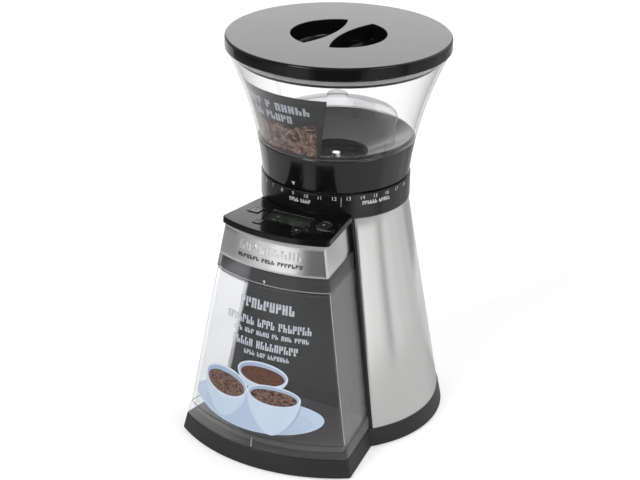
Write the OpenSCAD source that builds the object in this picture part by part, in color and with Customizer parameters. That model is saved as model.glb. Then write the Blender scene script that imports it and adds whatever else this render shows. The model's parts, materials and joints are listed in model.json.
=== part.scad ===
// Burr coffee grinder: hopper and dial on top, motor in a steel cone, grounds chamber in front.
// Millimetres, +Z up, front towards -Y. The table is z = 0.
// The burr axis is vertical. Every angle is measured round it from the front, positive towards +X.
// The origin is on the table under the middle of the footprint.

/* [Plinth] */
// Radius of the round plinth at the table
plinth_r = 90.5; // [84:0.5:110]
// How much that radius shrinks on the way up to the plinth's top
plinth_draft = 2.9; // [0:0.1:3.4]
// Height of the plinth's top above the table
plinth_h = 15.4; // [14:0.2:22]
// Wall of the plinth
plinth_wall = 2.4; // [1.6:0.1:3]
// How far the tongue flares out at the table on each side
tongue_flare = 1.2; // [0:0.1:4]
// How far the rubber feet stand out below the plinth
foot_drop = 1.4; // [0.8:0.1:3]
// Radius of a rubber foot
foot_r = 9; // [6:0.5:12]

/* [Steel cone] */
// Height of the deck under the dial
deck_h = 181.5; // [165:0.5:230]
// Radius of the steel cone at the plinth
cone_foot_r = 86.8; // [84:0.2:88]
// Radius of the steel cone at the deck
cone_top_r = 56.7; // [56:0.1:62]
// Thickness of the steel sheet
sheet_t = 0.8; // [0.5:0.1:1.2]
// Width of the black channel between the sheet and the front block
channel_w = 2.7; // [2:0.1:5]
// Wall of the inner housing
housing_wall = 2.4; // [1.8:0.1:3]

/* [Front block] */
// Half width of the front block at the burr axis and the table
block_half_w = 58.3; // [54:0.1:60]
// Widening of each side for each millimetre forward
block_splay = 0.148; // [0.08:0.002:0.2]
// Narrowing of each side for each millimetre up
block_lean = 0.157; // [0.12:0.001:0.17]
// Distance from the burr axis to the front at the table
block_reach = 131.1; // [120:0.5:160]
// How far the front leans back for each millimetre up
front_lean = 0.15; // [0.1:0.005:0.17]

/* [Head] */
// Height of the steel fascia band
fascia_h = 24; // [20:0.5:26]
// Thickness of the control panel
panel_t = 5; // [4:0.5:7]
// How far the control panel overhangs the front block
panel_overhang = 1.6; // [0:0.1:3]
// Radius of the control panel's front corners
panel_corner_r = 4; // [1:0.5:8]
// Width of the display window
display_w = 36; // [28:1:40]
// Depth of the display window, front to back
display_d = 17; // [12:0.5:19]
// How far the display window's rear edge is in front of the burr axis
display_y = 66; // [64:0.5:68]
// Side of a large key
key_l = 10; // [8:0.5:11]
// Side of a small key
key_s = 7; // [6:0.5:8]
// Distance of each small key from the middle plane
key_s_x = 16.2; // [12:0.2:20]
// How far a key can be pressed
key_travel = 0.8; // [0.4:0.1:1.2]

/* [Grounds chamber] */
// Distance from the burr axis to the chamber's back
chamber_back = 43; // [42:0.5:50]
// Wall of the chamber
chamber_wall = 2.2; // [1.6:0.1:3]
// Height of the thick band at the chamber's foot
band_h = 9; // [6:0.5:14]
// How far the band stands out past the wall
band_step = 1.5; // [0.8:0.1:2]
// Height of the chamber's lid
chamber_lid_h = 10.5; // [8:0.5:14]
// Width of the hole in the chamber's lid
inlet_w = 30; // [24:1:34]
// Depth of the hole in the chamber's lid, front to back
inlet_d = 24; // [18:1:26]
// Distance from the burr axis to the middle of that hole
inlet_y = 70; // [66:0.5:74]

/* [Dial] */
// Outer radius of the dial ring
dial_r = 57.8; // [57.6:0.1:64]
// Height of the dial ring
dial_h = 20.2; // [20:0.2:26]
// Wall of the dial ring
dial_wall = 2.6; // [2:0.1:3]
// Number of grind settings
settings = 18; // [12:1:20]
// Angle from one setting to the next
setting_pitch = 10.75; // [8:0.25:12]
// The setting that the grinder is stored at
setting_now = 9; // [1:1:18]

/* [Hopper] */
// Height of the hopper from the dial to its mouth
hopper_h = 96.7; // [84:0.5:120]
// Outer radius of the hopper at the dial
hopper_foot_r = 56.9; // [56.4:0.1:60]
// Widening of the hopper for each millimetre up, at its foot
hopper_flare = 0.1; // [0.08:0.005:0.16]
// Extra widening for each square millimetre up
hopper_curve = 0.0019; // [0.0012:0.0001:0.0022]
// Wall of the clear hopper
hopper_wall = 2.2; // [1.6:0.1:3]
// Height of the black skirt
skirt_h = 27.3; // [24:0.5:34]
// Wall of the black skirt
skirt_wall = 2; // [1.5:0.1:3]
// Inner radius of the throat
throat_r = 24; // [22:0.5:24]
// Outer radius of the finger guard
guard_r = 46.3; // [42:0.5:50]
// Wall of the finger guard
guard_wall = 1.8; // [1.4:0.1:2.4]

/* [Lid] */
// How far the lid stands out past the hopper's mouth
lid_lip = 1.2; // [0.8:0.1:3]
// Height of the lid
lid_h = 9.5; // [8:0.5:14]
// Wall of the lid
lid_wall = 2.4; // [1.8:0.1:3]
// Outer radius of the pair of finger recesses
grip_r = 36.3; // [32:0.5:40]
// Width of the grip bar at its waist
grip_waist = 7; // [6:0.5:10]
// Radius of the recesses' inner sides
grip_side_r = 87; // [70:1:120]
// Depth of the finger recesses
grip_depth = 13; // [10:0.5:15]
// How far the lid's plug reaches into the hopper
plug_h = 8; // [6:0.5:12]

/* [Burrs] */
// Outer radius of the ring burr
ring_burr_r = 26; // [25:0.2:27]
// Height of the ring burr
ring_burr_h = 16; // [14:0.5:17]
// Largest radius of the cone burr
cone_burr_r = 19; // [17:0.2:19]
// Height of the cone burr
cone_burr_h = 20; // [18:0.5:22]
// Gap between the burrs at the stored setting
grind_gap = 0.6; // [0.5:0.05:1]
// Travel of the ring burr over the whole dial
burr_travel = 1.5; // [1:0.1:1.6]
// Radius of the drive shaft
shaft_r = 4; // [3:0.25:4.5]

/* [Gears] */
// Teeth on the motor pinion
teeth_pinion = 12; // [11:1:14]
// Teeth on the large intermediate gear
teeth_mid_large = 48; // [44:1:52]
// Teeth on the small intermediate gear
teeth_mid_small = 14; // [13:1:15]
// Teeth on the output gear
teeth_output = 42; // [40:1:44]
// Tooth module of the first pair
module_first = 0.8; // [0.75:0.01:0.85]
// Tooth module of the second pair
module_second = 1; // [0.95:0.01:1.05]
// Distance of the motor axis behind the burr axis
motor_back = 20; // [18:0.5:24]

/* [Motor] */
// Outer radius of the motor can
motor_r = 31; // [27:0.5:32]
// Height of the motor can
motor_h = 72; // [60:1:76]
// Wall of the motor can
motor_wall = 1.6; // [1.2:0.1:2]
// Radius of the rotor
rotor_r = 20; // [18:0.5:20]
// Radius of the motor shaft
rotor_shaft_r = 2.5; // [2:0.25:3]

/* [Clearances] */
// Gap round pieces that slide past each other
slide_gap = 0.4; // [0.3:0.05:0.6]
// Gap between pieces that turn past each other
turn_gap = 0.6; // [0.4:0.05:0.8]
// Gap between pieces fixed side by side
fit_gap = 0.15; // [0.05:0.05:0.3]
// Radial gap of a shaft in its bearing
shaft_gap = 0.04; // [0.02:0.01:0.08]

/* [Hidden] */
$fn = 96;
sliver = 0.01;
far = 400;

// Heights above the table
z_plinth = plinth_h;
z_fascia_top = deck_h - 1.5;
z_head = z_fascia_top - fascia_h;
z_panel_top = z_fascia_top + panel_t;
z_dial_top = deck_h + dial_h;
z_hopper = z_dial_top + turn_gap;
z_skirt_top = z_hopper + skirt_h;
z_mouth = z_hopper + hopper_h;
z_lid = z_mouth + 0.3;
z_lid_top = z_lid + lid_h;
z_tray = deck_h - 18.5;
z_tray_floor = z_tray + 2.5;
z_case = z_tray - 29.5;
z_cover = z_case + 23.5;
z_gear_first = z_case + 8;
z_gear_second = z_gear_first + 7;
gear_first_h = 6;
gear_second_h = 7;
case_wall = 2.2;
case_t = 2.5;
z_motor_top = z_case - 0.4;
z_motor = z_motor_top - motor_h;
z_cone_burr = deck_h + 2;
z_ring_burr = z_cone_burr + burr_travel / 2 + 0.25;
z_chamber = z_plinth + slide_gap;
z_chamber_lid_top = z_head - slide_gap;
z_chamber_top = z_chamber_lid_top - chamber_lid_h;

// The footprint runs from the round back to the tongue's tip, and the origin is at its middle
tongue_tip = block_reach + 0.7;
axis_y = (tongue_tip - plinth_r) / 2;

// Slope of the steel cone: radius lost for each millimetre up
cone_lean = (cone_foot_r - cone_top_r) / (deck_h - z_plinth);
plinth_lean = plinth_draft / (plinth_h - foot_drop);
bay_gap = slide_gap + 0.6;
bay_back = chamber_back - slide_gap;
fascia_inset = 1.4;

// Everything is drawn round the burr axis and moved to its place here
module on_burr_axis() {
    translate([0, axis_y, 0]) children();
}

// Turns a child that sits at the front round the burr axis
module at_angle(a) {
    rotate([0, 0, a]) children();
}

// A round bar or tube between two heights
module tube(r_out, r_in, z0, z1) {
    translate([0, 0, z0]) difference() {
        cylinder(r = r_out, h = z1 - z0);
        if (r_in > 0) translate([0, 0, -1]) cylinder(r = r_in, h = z1 - z0 + 2);
    }
}

// A box given by its lowest and highest corners
module block(low, high) {
    translate(low) cube(high - low);
}

// Everything on one side of a leaning plane, x <= half_w at the burr axis and the table
module side_limit(half_w, splay, lean) {
    steep = sqrt(1 + splay * splay + lean * lean);
    rotate([0, 0, atan(splay)]) rotate([0, -asin(lean / steep), 0])
        translate([half_w / steep - far, -far / 2 - 50, -far / 2]) cube([far, far, far * 1.5]);
}

// A solid with splayed, leaning sides and a coned front, between two heights and behind y = back
module front_block(inset, front_inset, z0, z1, back, half_w = block_half_w, lean = block_lean,
        reach = block_reach, recline = front_lean) {
    intersection() {
        side_limit(half_w - inset, block_splay, lean);
        mirror([1, 0, 0]) side_limit(half_w - inset, block_splay, lean);
        block([-far, -far, z0], [far, -back, z1]);
        translate([0, 0, z0])
            cylinder(r1 = reach - front_inset - recline * z0,
                r2 = reach - front_inset - recline * z1, h = z1 - z0);
    }
}

// A solid cone that follows the steel sheet's outside, inset by a distance
module body_cone(inset, z0, z1) {
    translate([0, 0, z0])
        cylinder(r1 = cone_foot_r - inset - cone_lean * (z0 - z_plinth),
            r2 = cone_foot_r - inset - cone_lean * (z1 - z_plinth), h = z1 - z0);
}

// Half width of the front block at a height and a distance in front of the burr axis
function block_w(forward, z) = block_half_w + block_splay * forward - block_lean * z;

// Angle of a grind setting's mark on the dial
function setting_angle(n) = (n - (settings + 1) / 2) * setting_pitch;

// ---- Plinth -----------------------------------------------------------------------------

plate_gap = 0.3;
plate_t = 2;
z_plate = foot_drop + 0.6;
foot_front = block_reach - 39;
foot_side = block_w(foot_front, 0) - 2 * foot_r;
foot_ring = plinth_r - 2.5 * foot_r;
foot_angle = 40;
foot_places = [[-foot_side, -foot_front], [foot_side, -foot_front],
    foot_ring * [-cos(foot_angle), sin(foot_angle)], foot_ring * [cos(foot_angle), sin(foot_angle)]];
screw_front = block_reach - 31;
screw_ring = plinth_r - 16;
screw_x = 34;
screw_rear = sqrt(screw_ring * screw_ring - screw_x * screw_x);
screw_places = [for (x = [-screw_x, screw_x], y = [-screw_front, screw_rear]) [x, y]];
bushing_z = (z_plate + plate_t + plinth_h - plinth_wall) / 2;
bushing_r = 3.9;
cable_r = 3;

// Outside of the plinth, or an inset copy of it, between two heights
module plinth_shape(inset, z0, z1) {
    translate([0, 0, z0])
        cylinder(r1 = plinth_r - inset - plinth_lean * (z0 - foot_drop),
            r2 = plinth_r - inset - plinth_lean * (z1 - foot_drop), h = z1 - z0);
    front_block(inset, inset, z0, z1, 0,
        half_w = block_half_w + tongue_flare,
        lean = block_lean + tongue_flare / plinth_h,
        reach = tongue_tip, recline = front_lean + 0.7 / plinth_h);
}

module plinth() {
    color([0.13, 0.13, 0.14]) on_burr_axis() {
        difference() {
            plinth_shape(0, foot_drop, plinth_h);
            plinth_shape(plinth_wall, foot_drop - 1, plinth_h - plinth_wall);
            // the way up for air and wires, between the chamber's bay and the mains board
            intersection() {
                tube(cone_foot_r - sheet_t - housing_wall - 8, 0, 0, plinth_h + 1);
                block([-far, -bay_back + housing_wall + 6, 0], [far, power_y[0] - 2, plinth_h + 1]);
            }
            translate([0, plinth_r, bushing_z]) rotate([90, 0, 0])
                cylinder(r = bushing_r, h = 12, center = true);
        }
        for (p = screw_places) translate([p[0], p[1], 0]) difference() {
            tube(4, 0, z_plate + plate_t + fit_gap, plinth_h - 1);
            tube(1.3, 0, 0, plinth_h - 4);
        }
    }
}

module bottom_plate() {
    slots = 9;
    slot_pitch = 8;
    color([0.10, 0.10, 0.11]) on_burr_axis() difference() {
        plinth_shape(plinth_wall + plate_gap, z_plate, z_plate + plate_t);
        for (p = foot_places) translate([p[0], p[1], 0]) tube(foot_r - 1, 0, 0, z_plate + 1);
        for (p = screw_places) translate([p[0], p[1], 0]) {
            tube(1.7, 0, 0, plinth_h);
            tube(3.4, 0, 0, z_plate + 0.8);
        }
        for (i = [0 : slots - 1])
            block([-24, 4 + slot_pitch * i - slot_pitch * 2, 0],
                [24, 6.5 + slot_pitch * i - slot_pitch * 2, plinth_h]);
    }
}

module feet() {
    color([0.06, 0.06, 0.06]) on_burr_axis()
        for (p = foot_places) translate([p[0], p[1], 0]) {
            tube(foot_r, 0, 0, z_plate - 0.05);
            tube(foot_r - 1 - fit_gap, 0, z_plate - 0.1, z_plate + 1 - fit_gap);
        }
}

module plate_screws() {
    color([0.72, 0.72, 0.74]) on_burr_axis()
        for (p = screw_places) translate([p[0], p[1], 0]) difference() {
            union() {
                tube(3, 0, z_plate - 0.8, z_plate + 0.8 - 0.05);
                tube(1.2, 0, z_plate, plinth_h - 6);
            }
            for (a = [0, 90]) rotate([0, 0, a])
                block([-1.6, -0.3, 0], [1.6, 0.3, z_plate]);
        }
}

module cord_bushing() {
    color([0.05, 0.05, 0.05]) on_burr_axis()
        translate([0, plinth_r - 1.4, bushing_z]) rotate([90, 0, 0]) difference() {
            union() {
                translate([0, 0, -0.2]) cylinder(r = bushing_r - fit_gap, h = 7);
                translate([0, 0, 3.6]) cylinder(r = bushing_r + 0.4, h = 2.4);
            }
            translate([0, 0, -2]) cylinder(r = cable_r, h = 12);
        }
}

// ---- Steel cone and inner housing ---------------------------------------------------------

module steel_cone() {
    color([0.78, 0.78, 0.77]) on_burr_axis() difference() {
        body_cone(0, z_plinth, deck_h);
        body_cone(sheet_t, z_plinth - 1, deck_h + 1);
        front_block(-channel_w, -far, z_plinth - 1, deck_h + 1, 10);
    }
}

deck_t = 2.4;
deck_hole_r = 46;
housing_skin = sheet_t + fit_gap;
tray_ears = [-72, 72, 180];
ear_r = 48.5;

module inner_housing() {
    back_wall_top = z_head + 2;
    color([0.09, 0.09, 0.10]) on_burr_axis() difference() {
        union() {
            body_cone(housing_skin, z_plinth, deck_h);
            // the lips that show as black channels beside the front block
            intersection() {
                body_cone(0.3, z_plinth, deck_h);
                front_block(-channel_w + fit_gap, -far, z_plinth, deck_h, 10);
            }
        }
        // room for the drive behind the bay's walls
        difference() {
            body_cone(housing_skin + housing_wall, z_plinth - 1, deck_h - deck_t);
            front_block(-bay_gap - housing_wall, -far, z_plinth - 2, deck_h, bay_back - housing_wall);
        }
        // the bay and the front block's place above it
        front_block(-bay_gap, -far, z_plinth - 1, deck_h + 1, bay_back);
        // the way from the burrs to the chute
        block([-26, -far, back_wall_top], [26, -20, deck_h + 1]);
        tube(deck_hole_r, 0, deck_h - deck_t - 1, deck_h + 1);
        for (a = tray_ears) at_angle(a) translate([0, -ear_r, 0])
            tube(1.8, 0, deck_h - deck_t - 1, deck_h + 1);
        pin_hole();
        // a slot for the chamber switch's plunger
        block([-2.5, -bay_back - 1, switch_z - 2.5], [2.5, -bay_back + housing_wall + 1, switch_z + 2.5]);
    }
}

// ---- Head --------------------------------------------------------------------------------

frame_inset = fascia_inset + sheet_t + 0.2;
frame_wall = 2.2;
frame_back = bay_back + 0.6;
board_t = 1.6;
z_board = z_fascia_top - 10;
panel_front_r = block_reach - front_lean * z_fascia_top + 0.4;
key_l_y = 72;
key_s_y = display_y + display_d + (panel_front_r - display_y - display_d) / 3;
key_flange = 1.2;
key_grip = 0.8;
key_l_x = block_w(key_l_y - key_l / 2, z_fascia_top) - frame_inset - frame_wall - key_l / 2
    - key_grip - slide_gap;
board_half = block_w(52, z_board) - frame_inset - frame_wall - 1.7;
board_front = panel_front_r - 10.5;
board_ear_y = 56;
post_x = board_half - 3.5;
board_posts = [for (x = [-post_x, post_x], y = [-board_front + 10, -board_ear_y]) [x, y]];

module head_frame() {
    color([0.08, 0.08, 0.09]) on_burr_axis() difference() {
        union() {
            difference() {
                front_block(frame_inset, fascia_inset, z_head + 0.2, z_fascia_top - 0.1, frame_back);
                front_block(frame_inset + frame_wall, fascia_inset + frame_wall,
                    z_head + 0.2 + frame_wall, z_fascia_top + 1, frame_back + frame_wall);
            }
            for (p = board_posts) translate([p[0], p[1], 0])
                tube(2.6, 0, z_head + 1, z_board - 0.05);
        }
        // the chute passes through the back and the floor
        block([-chute_w / 2 - 0.5, -frame_back - 10, z_head + 2 + frame_wall],
            [chute_w / 2 + 0.5, 0, z_fascia_top + 2]);
        block([-chute_w / 2 - 0.5, -inlet_y - chute_d / 2 - 0.5, 0],
            [chute_w / 2 + 0.5, -inlet_y + chute_d / 2 + 0.5, z_head + 5]);
    }
}

module fascia() {
    color([0.74, 0.74, 0.73]) on_burr_axis() difference() {
        front_block(fascia_inset, 0.4, z_head, z_fascia_top - 0.1, frame_back);
        front_block(fascia_inset + sheet_t, 0.4 + sheet_t, z_head - 1, z_fascia_top + 1,
            frame_back - 1);
    }
}

// Outline of the control panel, seen from above
module panel_outline() {
    rear_w = block_w(0, z_fascia_top) + panel_overhang;
    front_w = block_w(panel_front_r, z_fascia_top) + panel_overhang;
    difference() {
        offset(r = panel_corner_r) offset(delta = -panel_corner_r) intersection() {
            polygon([[-rear_w, 0], [rear_w, 0], [front_w, -panel_front_r], [-front_w, -panel_front_r]]);
            circle(r = panel_front_r, $fn = 180);
        }
        circle(r = dial_r + turn_gap);
    }
}

// A rounded square key or keyhole, with its corners rounded by r
module key_shape(side, r, grow) {
    half = side / 2 + grow - r;
    for (x = [-half, half], y = [-half, half]) translate([x, y]) circle(r = r);
    square([2 * half + 2 * r, 2 * half], center = true);
    square([2 * half, 2 * half + 2 * r], center = true);
}

module control_panel() {
    color([0.04, 0.04, 0.05]) on_burr_axis() difference() {
        translate([0, 0, z_fascia_top]) linear_extrude(panel_t) panel_outline();
        block([-display_w / 2, -display_y - display_d, 0], [display_w / 2, -display_y, far]);
        for (x = [-1, 1]) {
            translate([x * key_l_x, -key_l_y, 0]) linear_extrude(far) key_shape(key_l, 1.6, slide_gap);
            translate([x * key_s_x, -key_s_y, 0]) linear_extrude(far) key_shape(key_s, 1.4, slide_gap);
        }
    }
}

module display_lens() {
    color([0.35, 0.38, 0.36]) on_burr_axis()
        block([-display_w / 2 + fit_gap, -display_y - display_d + fit_gap, z_panel_top - 2],
            [display_w / 2 - fit_gap, -display_y - fit_gap, z_panel_top - 0.1]);
}

module display_module() {
    color([0.62, 0.68, 0.60]) on_burr_axis() {
        block([-display_w / 2 + 0.5, -display_y - display_d + 0.5, z_fascia_top + 0.4],
            [display_w / 2 - 0.5, -display_y - 0.5, z_panel_top - 2.2]);
        block([-display_w / 2 + 2.5, -display_y - display_d + 2.5, z_board + board_t],
            [display_w / 2 - 2.5, -display_y - 2.5, z_fascia_top + 0.4]);
    }
}

module panel_board() {
    color([0.10, 0.32, 0.18]) on_burr_axis() difference() {
        union() {
            block([-board_half, -board_front, z_board], [board_half, -display_y, z_board + board_t]);
            for (x = [-post_x, post_x])
                block([x - 3.5, -display_y - 1, z_board], [x + 3.5, 4 - board_ear_y, z_board + board_t]);
        }
        for (p = board_posts) translate([p[0], p[1], 0]) tube(1.2, 0, 0, far);
    }
}

// One key: its cap, and the flange that holds it under the panel
module key(side, r, x, y) {
    color([0.16, 0.16, 0.17]) on_burr_axis() translate([x, -y, 0]) {
        translate([0, 0, z_fascia_top - 1])
            linear_extrude(panel_t + 1.8) key_shape(side, r, 0);
        translate([0, 0, z_fascia_top - key_flange - 0.1])
            linear_extrude(key_flange) key_shape(side, r, key_grip);
        translate([0, 0, z_board + board_t + key_travel + 0.3])
            cylinder(r = 1.5, h = z_fascia_top - z_board - board_t - key_travel - 1);
    }
}

module key_left_rear() key(key_l, 1.6, -key_l_x, key_l_y);
module key_right_rear() key(key_l, 1.6, key_l_x, key_l_y);
module key_left_front() key(key_s, 1.4, -key_s_x, key_s_y);
module key_right_front() key(key_s, 1.4, key_s_x, key_s_y);

// ---- Dial and adjusting thread -------------------------------------------------------------

thread_wall = 4.6;
thread_gap = 0.35;
thread_in_r = dial_r - dial_wall - fit_gap - thread_wall;
carrier_r = thread_in_r - thread_gap;
pin_at = 125;
pin_r = 1.5;
pin_ring_r = thread_in_r + thread_wall / 2;
notch_h = 3;

// A vertical hole for the hopper switch's pin
module pin_hole() {
    at_angle(pin_at) translate([0, -pin_ring_r, 0]) tube(pin_r + 0.3, 0, deck_h - 5, z_dial_top + 1);
}

module dial_ring() {
    color([0.11, 0.11, 0.12]) on_burr_axis() difference() {
        union() {
            tube(dial_r, dial_r - dial_wall, deck_h + fit_gap, z_dial_top);
            tube(dial_r - 1, thread_in_r, deck_h + fit_gap, deck_h + 2);
        }
        pin_hole();
        // a notch inside the rim for each setting
        for (n = [1 : settings]) at_angle(setting_angle(n)) translate([0, dial_wall - dial_r, 0])
            rotate([0, 0, 45]) block([-0.6, -0.6, z_dial_top - notch_h], [0.6, 0.6, z_dial_top + 1]);
    }
}

module ramp_ring() {
    color([0.55, 0.55, 0.52]) on_burr_axis() difference() {
        tube(thread_in_r + thread_wall, thread_in_r, deck_h + 2.1, deck_h + 13);
        pin_hole();
    }
}

// ---- Burrs ---------------------------------------------------------------------------------

cone_tip_r = 9;
ring_burr_in_top = cone_burr_r - 1.5;
ring_burr_in_foot = cone_burr_r - 0.5 + grind_gap;
coarse_flutes = 10;
fine_flutes = 36;

module cone_burr() {
    color([0.70, 0.71, 0.73]) on_burr_axis() difference() {
        translate([0, 0, z_cone_burr]) cylinder(r1 = cone_burr_r, r2 = cone_tip_r, h = cone_burr_h);
        tube(shaft_r + 0.05, 0, 0, far);
        // coarse flutes break the beans, near the tip
        for (i = [0 : coarse_flutes - 1]) rotate([0, 0, i * 360 / coarse_flutes])
            translate([cone_tip_r - 1.5, 0, z_cone_burr + cone_burr_h]) rotate([28, 28, 0])
                block([0, -1.8, -17], [9, 1.8, 6]);
        // fine teeth grind them, near the foot
        for (i = [0 : fine_flutes - 1]) rotate([0, 0, i * 360 / fine_flutes])
            translate([cone_burr_r - 0.7, 0, z_cone_burr]) rotate([12, -27, 0]) rotate([0, 0, 45])
                block([-0.6, -0.6, -3], [0.6, 0.6, 7]);
    }
}

module burr_nut() {
    color([0.62, 0.62, 0.64]) on_burr_axis() difference() {
        union() {
            translate([0, 0, z_cone_burr + cone_burr_h + 0.05]) cylinder(r = 6.5, h = 5, $fn = 6);
            translate([0, 0, z_cone_burr + cone_burr_h + 5]) cylinder(r1 = 5.4, r2 = 3, h = 5);
        }
        tube(shaft_r + 0.05, 0, 0, z_cone_burr + cone_burr_h + 7);
    }
}

module ring_burr() {
    color([0.68, 0.69, 0.71]) on_burr_axis() difference() {
        tube(ring_burr_r, 0, z_ring_burr, z_ring_burr + ring_burr_h);
        translate([0, 0, z_ring_burr - sliver])
            cylinder(r1 = ring_burr_in_foot, r2 = ring_burr_in_top, h = ring_burr_h + 2 * sliver);
        for (i = [0 : coarse_flutes * 2 - 1]) rotate([0, 0, i * 180 / coarse_flutes])
            translate([ring_burr_in_top - 0.4, 0, z_ring_burr + ring_burr_h]) rotate([-20, 6, 0])
                block([-1, -1, -14], [1.6, 1, 4]);
    }
}

module burr_carrier() {
    tab_angles = [60, 180, 300];
    lip = 1.9;
    z_lip = z_ring_burr + ring_burr_h + 0.1;
    color([0.15, 0.15, 0.16]) on_burr_axis() difference() {
        rotate_extrude() polygon([
            [ring_burr_r + 0.05, z_ring_burr], [carrier_r, z_ring_burr], [carrier_r, z_ring_burr + 14],
            [carrier_r - 3.1, z_ring_burr + 14], [carrier_r - 3.1, z_ring_burr + 2.6],
            [ring_burr_r + 3, z_ring_burr + 2.6], [ring_burr_r + 3, z_lip + lip],
            [throat_r + 0.5, z_lip + lip], [ring_burr_in_top + 1, z_lip], [ring_burr_r + 0.05, z_lip]]);
        for (a = tab_angles) at_angle(a)
            block([-4.3, -carrier_r - 1, z_ring_burr + 5], [4.3, -carrier_r + 4, z_ring_burr + 15]);
    }
}

// ---- Burr tray and chute -------------------------------------------------------------------

tray_r = 40;
tray_wall = 2.4;
hub_r = 13;
bearing_r = 9.5;
bearing_h = 6;
z_bearing_low = z_case + 1.5;
z_bearing_top = z_cover + case_t + 0.6;
z_ear = deck_h - deck_t - 0.1;
ear_t = 2.6;
chute_w = 28;
chute_d = 22;
chute_wall = 2;

module burr_tray() {
    color([0.20, 0.20, 0.21]) on_burr_axis() difference() {
        union() {
            tube(tray_r, 0, z_tray, z_tray_floor);
            tube(tray_r, tray_r - tray_wall, z_tray, deck_h + 0.2);
            tube(hub_r, 0, z_bearing_top - 0.2, z_tray_floor + 1.6);
            for (a = tray_ears) at_angle(a) {
                translate([0, -ear_r, 0]) tube(4.5, 0, z_ear - ear_t, z_ear);
                block([-4.5, -ear_r, z_ear - ear_t], [4.5, -tray_r + 1, z_ear]);
            }
        }
        // the upper bearing's seat, and the shaft's way through the seal above it
        tube(bearing_r + 0.02, 0, 0, z_bearing_top + bearing_h);
        tube(shaft_r + 0.5, 0, 0, z_tray_floor + 3);
        for (a = tray_ears) at_angle(a) translate([0, -ear_r, 0]) tube(1.7, 0, 0, far);
        for (p = mount_places) translate([p[0], p[1], 0]) tube(1.7, 0, 0, z_tray + 1.9);
        // the opening that the impeller sweeps the grounds through
        block([-chute_w / 2 + chute_wall, -tray_r - 1, z_tray_floor],
            [chute_w / 2 - chute_wall, -20, z_tray_floor + 12]);
    }
}

module tray_screws() {
    color([0.72, 0.72, 0.74]) on_burr_axis()
        for (a = tray_ears) at_angle(a) translate([0, -ear_r, 0]) {
            tube(3, 0, z_ear - ear_t - 2.4, z_ear - ear_t - 0.05);
            tube(1.5, 0, z_ear - ear_t - 0.1, deck_h - 0.2);
        }
}

// The chute's side outline, grown outwards by a wall, with its mouth at a height
module chute_outline(wall, z_exit) {
    y_rear = -inlet_y + chute_d / 2 - chute_wall;
    y_front = -inlet_y - chute_d / 2 + chute_wall;
    z_roof = z_board - 3;
    polygon([[-30, z_tray_floor - wall], [y_rear + wall, z_head + 5 - wall],
        [y_rear + wall, z_exit], [y_front - wall, z_exit],
        [y_front - wall, z_roof + wall], [y_rear + 6, z_roof + wall], [-30, z_tray_floor + 12 + wall]]);
}

module chute() {
    color([0.24, 0.24, 0.25]) on_burr_axis() difference() {
        rotate([90, 0, 90]) linear_extrude(chute_w, center = true)
            chute_outline(chute_wall, z_head + 0.3);
        rotate([90, 0, 90]) linear_extrude(chute_w - 2 * chute_wall, center = true)
            chute_outline(0, z_head - 1);
        tube(tray_r + fit_gap, 0, z_tray - 5, deck_h + 5);
    }
}

// ---- Impeller and drive shaft ----------------------------------------------------------------

impeller_blades = 4;

module impeller() {
    z_foot = z_tray_floor + turn_gap;
    color([0.78, 0.78, 0.74]) on_burr_axis() difference() {
        union() {
            tube(cone_burr_r - 6, 0, z_tray_floor + 1.6 + turn_gap, z_cone_burr - 0.05);
            intersection() {
                for (i = [0 : impeller_blades - 1]) rotate([0, 0, i * 360 / impeller_blades])
                    block([hub_r - 3, -1.5, z_foot], [tray_r, 1.5, z_foot + 10]);
                tube(tray_r - tray_wall - 1, hub_r + turn_gap, 0, deck_h);
            }
            tube(tray_r - tray_wall - 8, cone_burr_r - 7, z_foot + 7, z_foot + 10);
        }
        tube(shaft_r + 0.05, 0, 0, far);
    }
}

module drive_shaft() {
    color([0.66, 0.66, 0.68]) on_burr_axis() tube(shaft_r, 0, z_case + 1.7, z_cone_burr + cone_burr_h + 6.5);
}

module bearings() {
    color([0.72, 0.73, 0.75]) on_burr_axis()
        for (z = [z_bearing_low, z_bearing_top])
            tube(bearing_r, shaft_r + shaft_gap, z, z + bearing_h - 0.05);
}

// ---- Gearbox ---------------------------------------------------------------------------------

// Centre distances of the two pairs, and where they put the intermediate axis
reach_first = module_first * (teeth_pinion + teeth_mid_large) / 2;
reach_second = module_second * (teeth_mid_small + teeth_output) / 2;
mid_y = (reach_second * reach_second - reach_first * reach_first + motor_back * motor_back)
    / (2 * motor_back);
mid_x = sqrt(reach_second * reach_second - mid_y * mid_y);
mid_pin_r = 2;
mount_reach = 33;
motor_screw_x = [-14, 14];
mount_places = [mount_reach * [cos(200), sin(200)], mount_reach * [cos(320), sin(320)],
    [motor_screw_x[0], motor_back + 10]];

// A point of an involute flank, at a radius, turned by a start angle
function involute_turn(base, r) = sqrt(max(0, (r / base) * (r / base) - 1)) * 180 / PI
    - acos(min(1, base / r));
function ring_point(r, a) = [r * cos(a), r * sin(a)];

// Outline of a spur gear with a tooth centred on +X
module gear_outline(teeth, m) {
    pitch = teeth * m / 2;
    base = pitch * cos(20);
    tip = pitch + 0.85 * m;
    root = pitch - 1.15 * m;
    half_tooth = 90 / teeth * 0.94 + involute_turn(base, pitch);
    start = max(base, root);
    flank = [for (i = [0 : 3]) start + (tip - start) * i / 3];
    rise = [for (r = flank) [r, -half_tooth + involute_turn(base, r)]];
    fall = [for (i = [3 : -1 : 0]) [flank[i], half_tooth - involute_turn(base, flank[i])]];
    polygon([for (t = [0 : teeth - 1]) each [
        ring_point(root, t * 360 / teeth - half_tooth),
        for (p = rise) ring_point(p[0], t * 360 / teeth + p[1]),
        for (p = fall) ring_point(p[0], t * 360 / teeth + p[1]),
        ring_point(root, t * 360 / teeth + half_tooth)]]);
}

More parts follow.
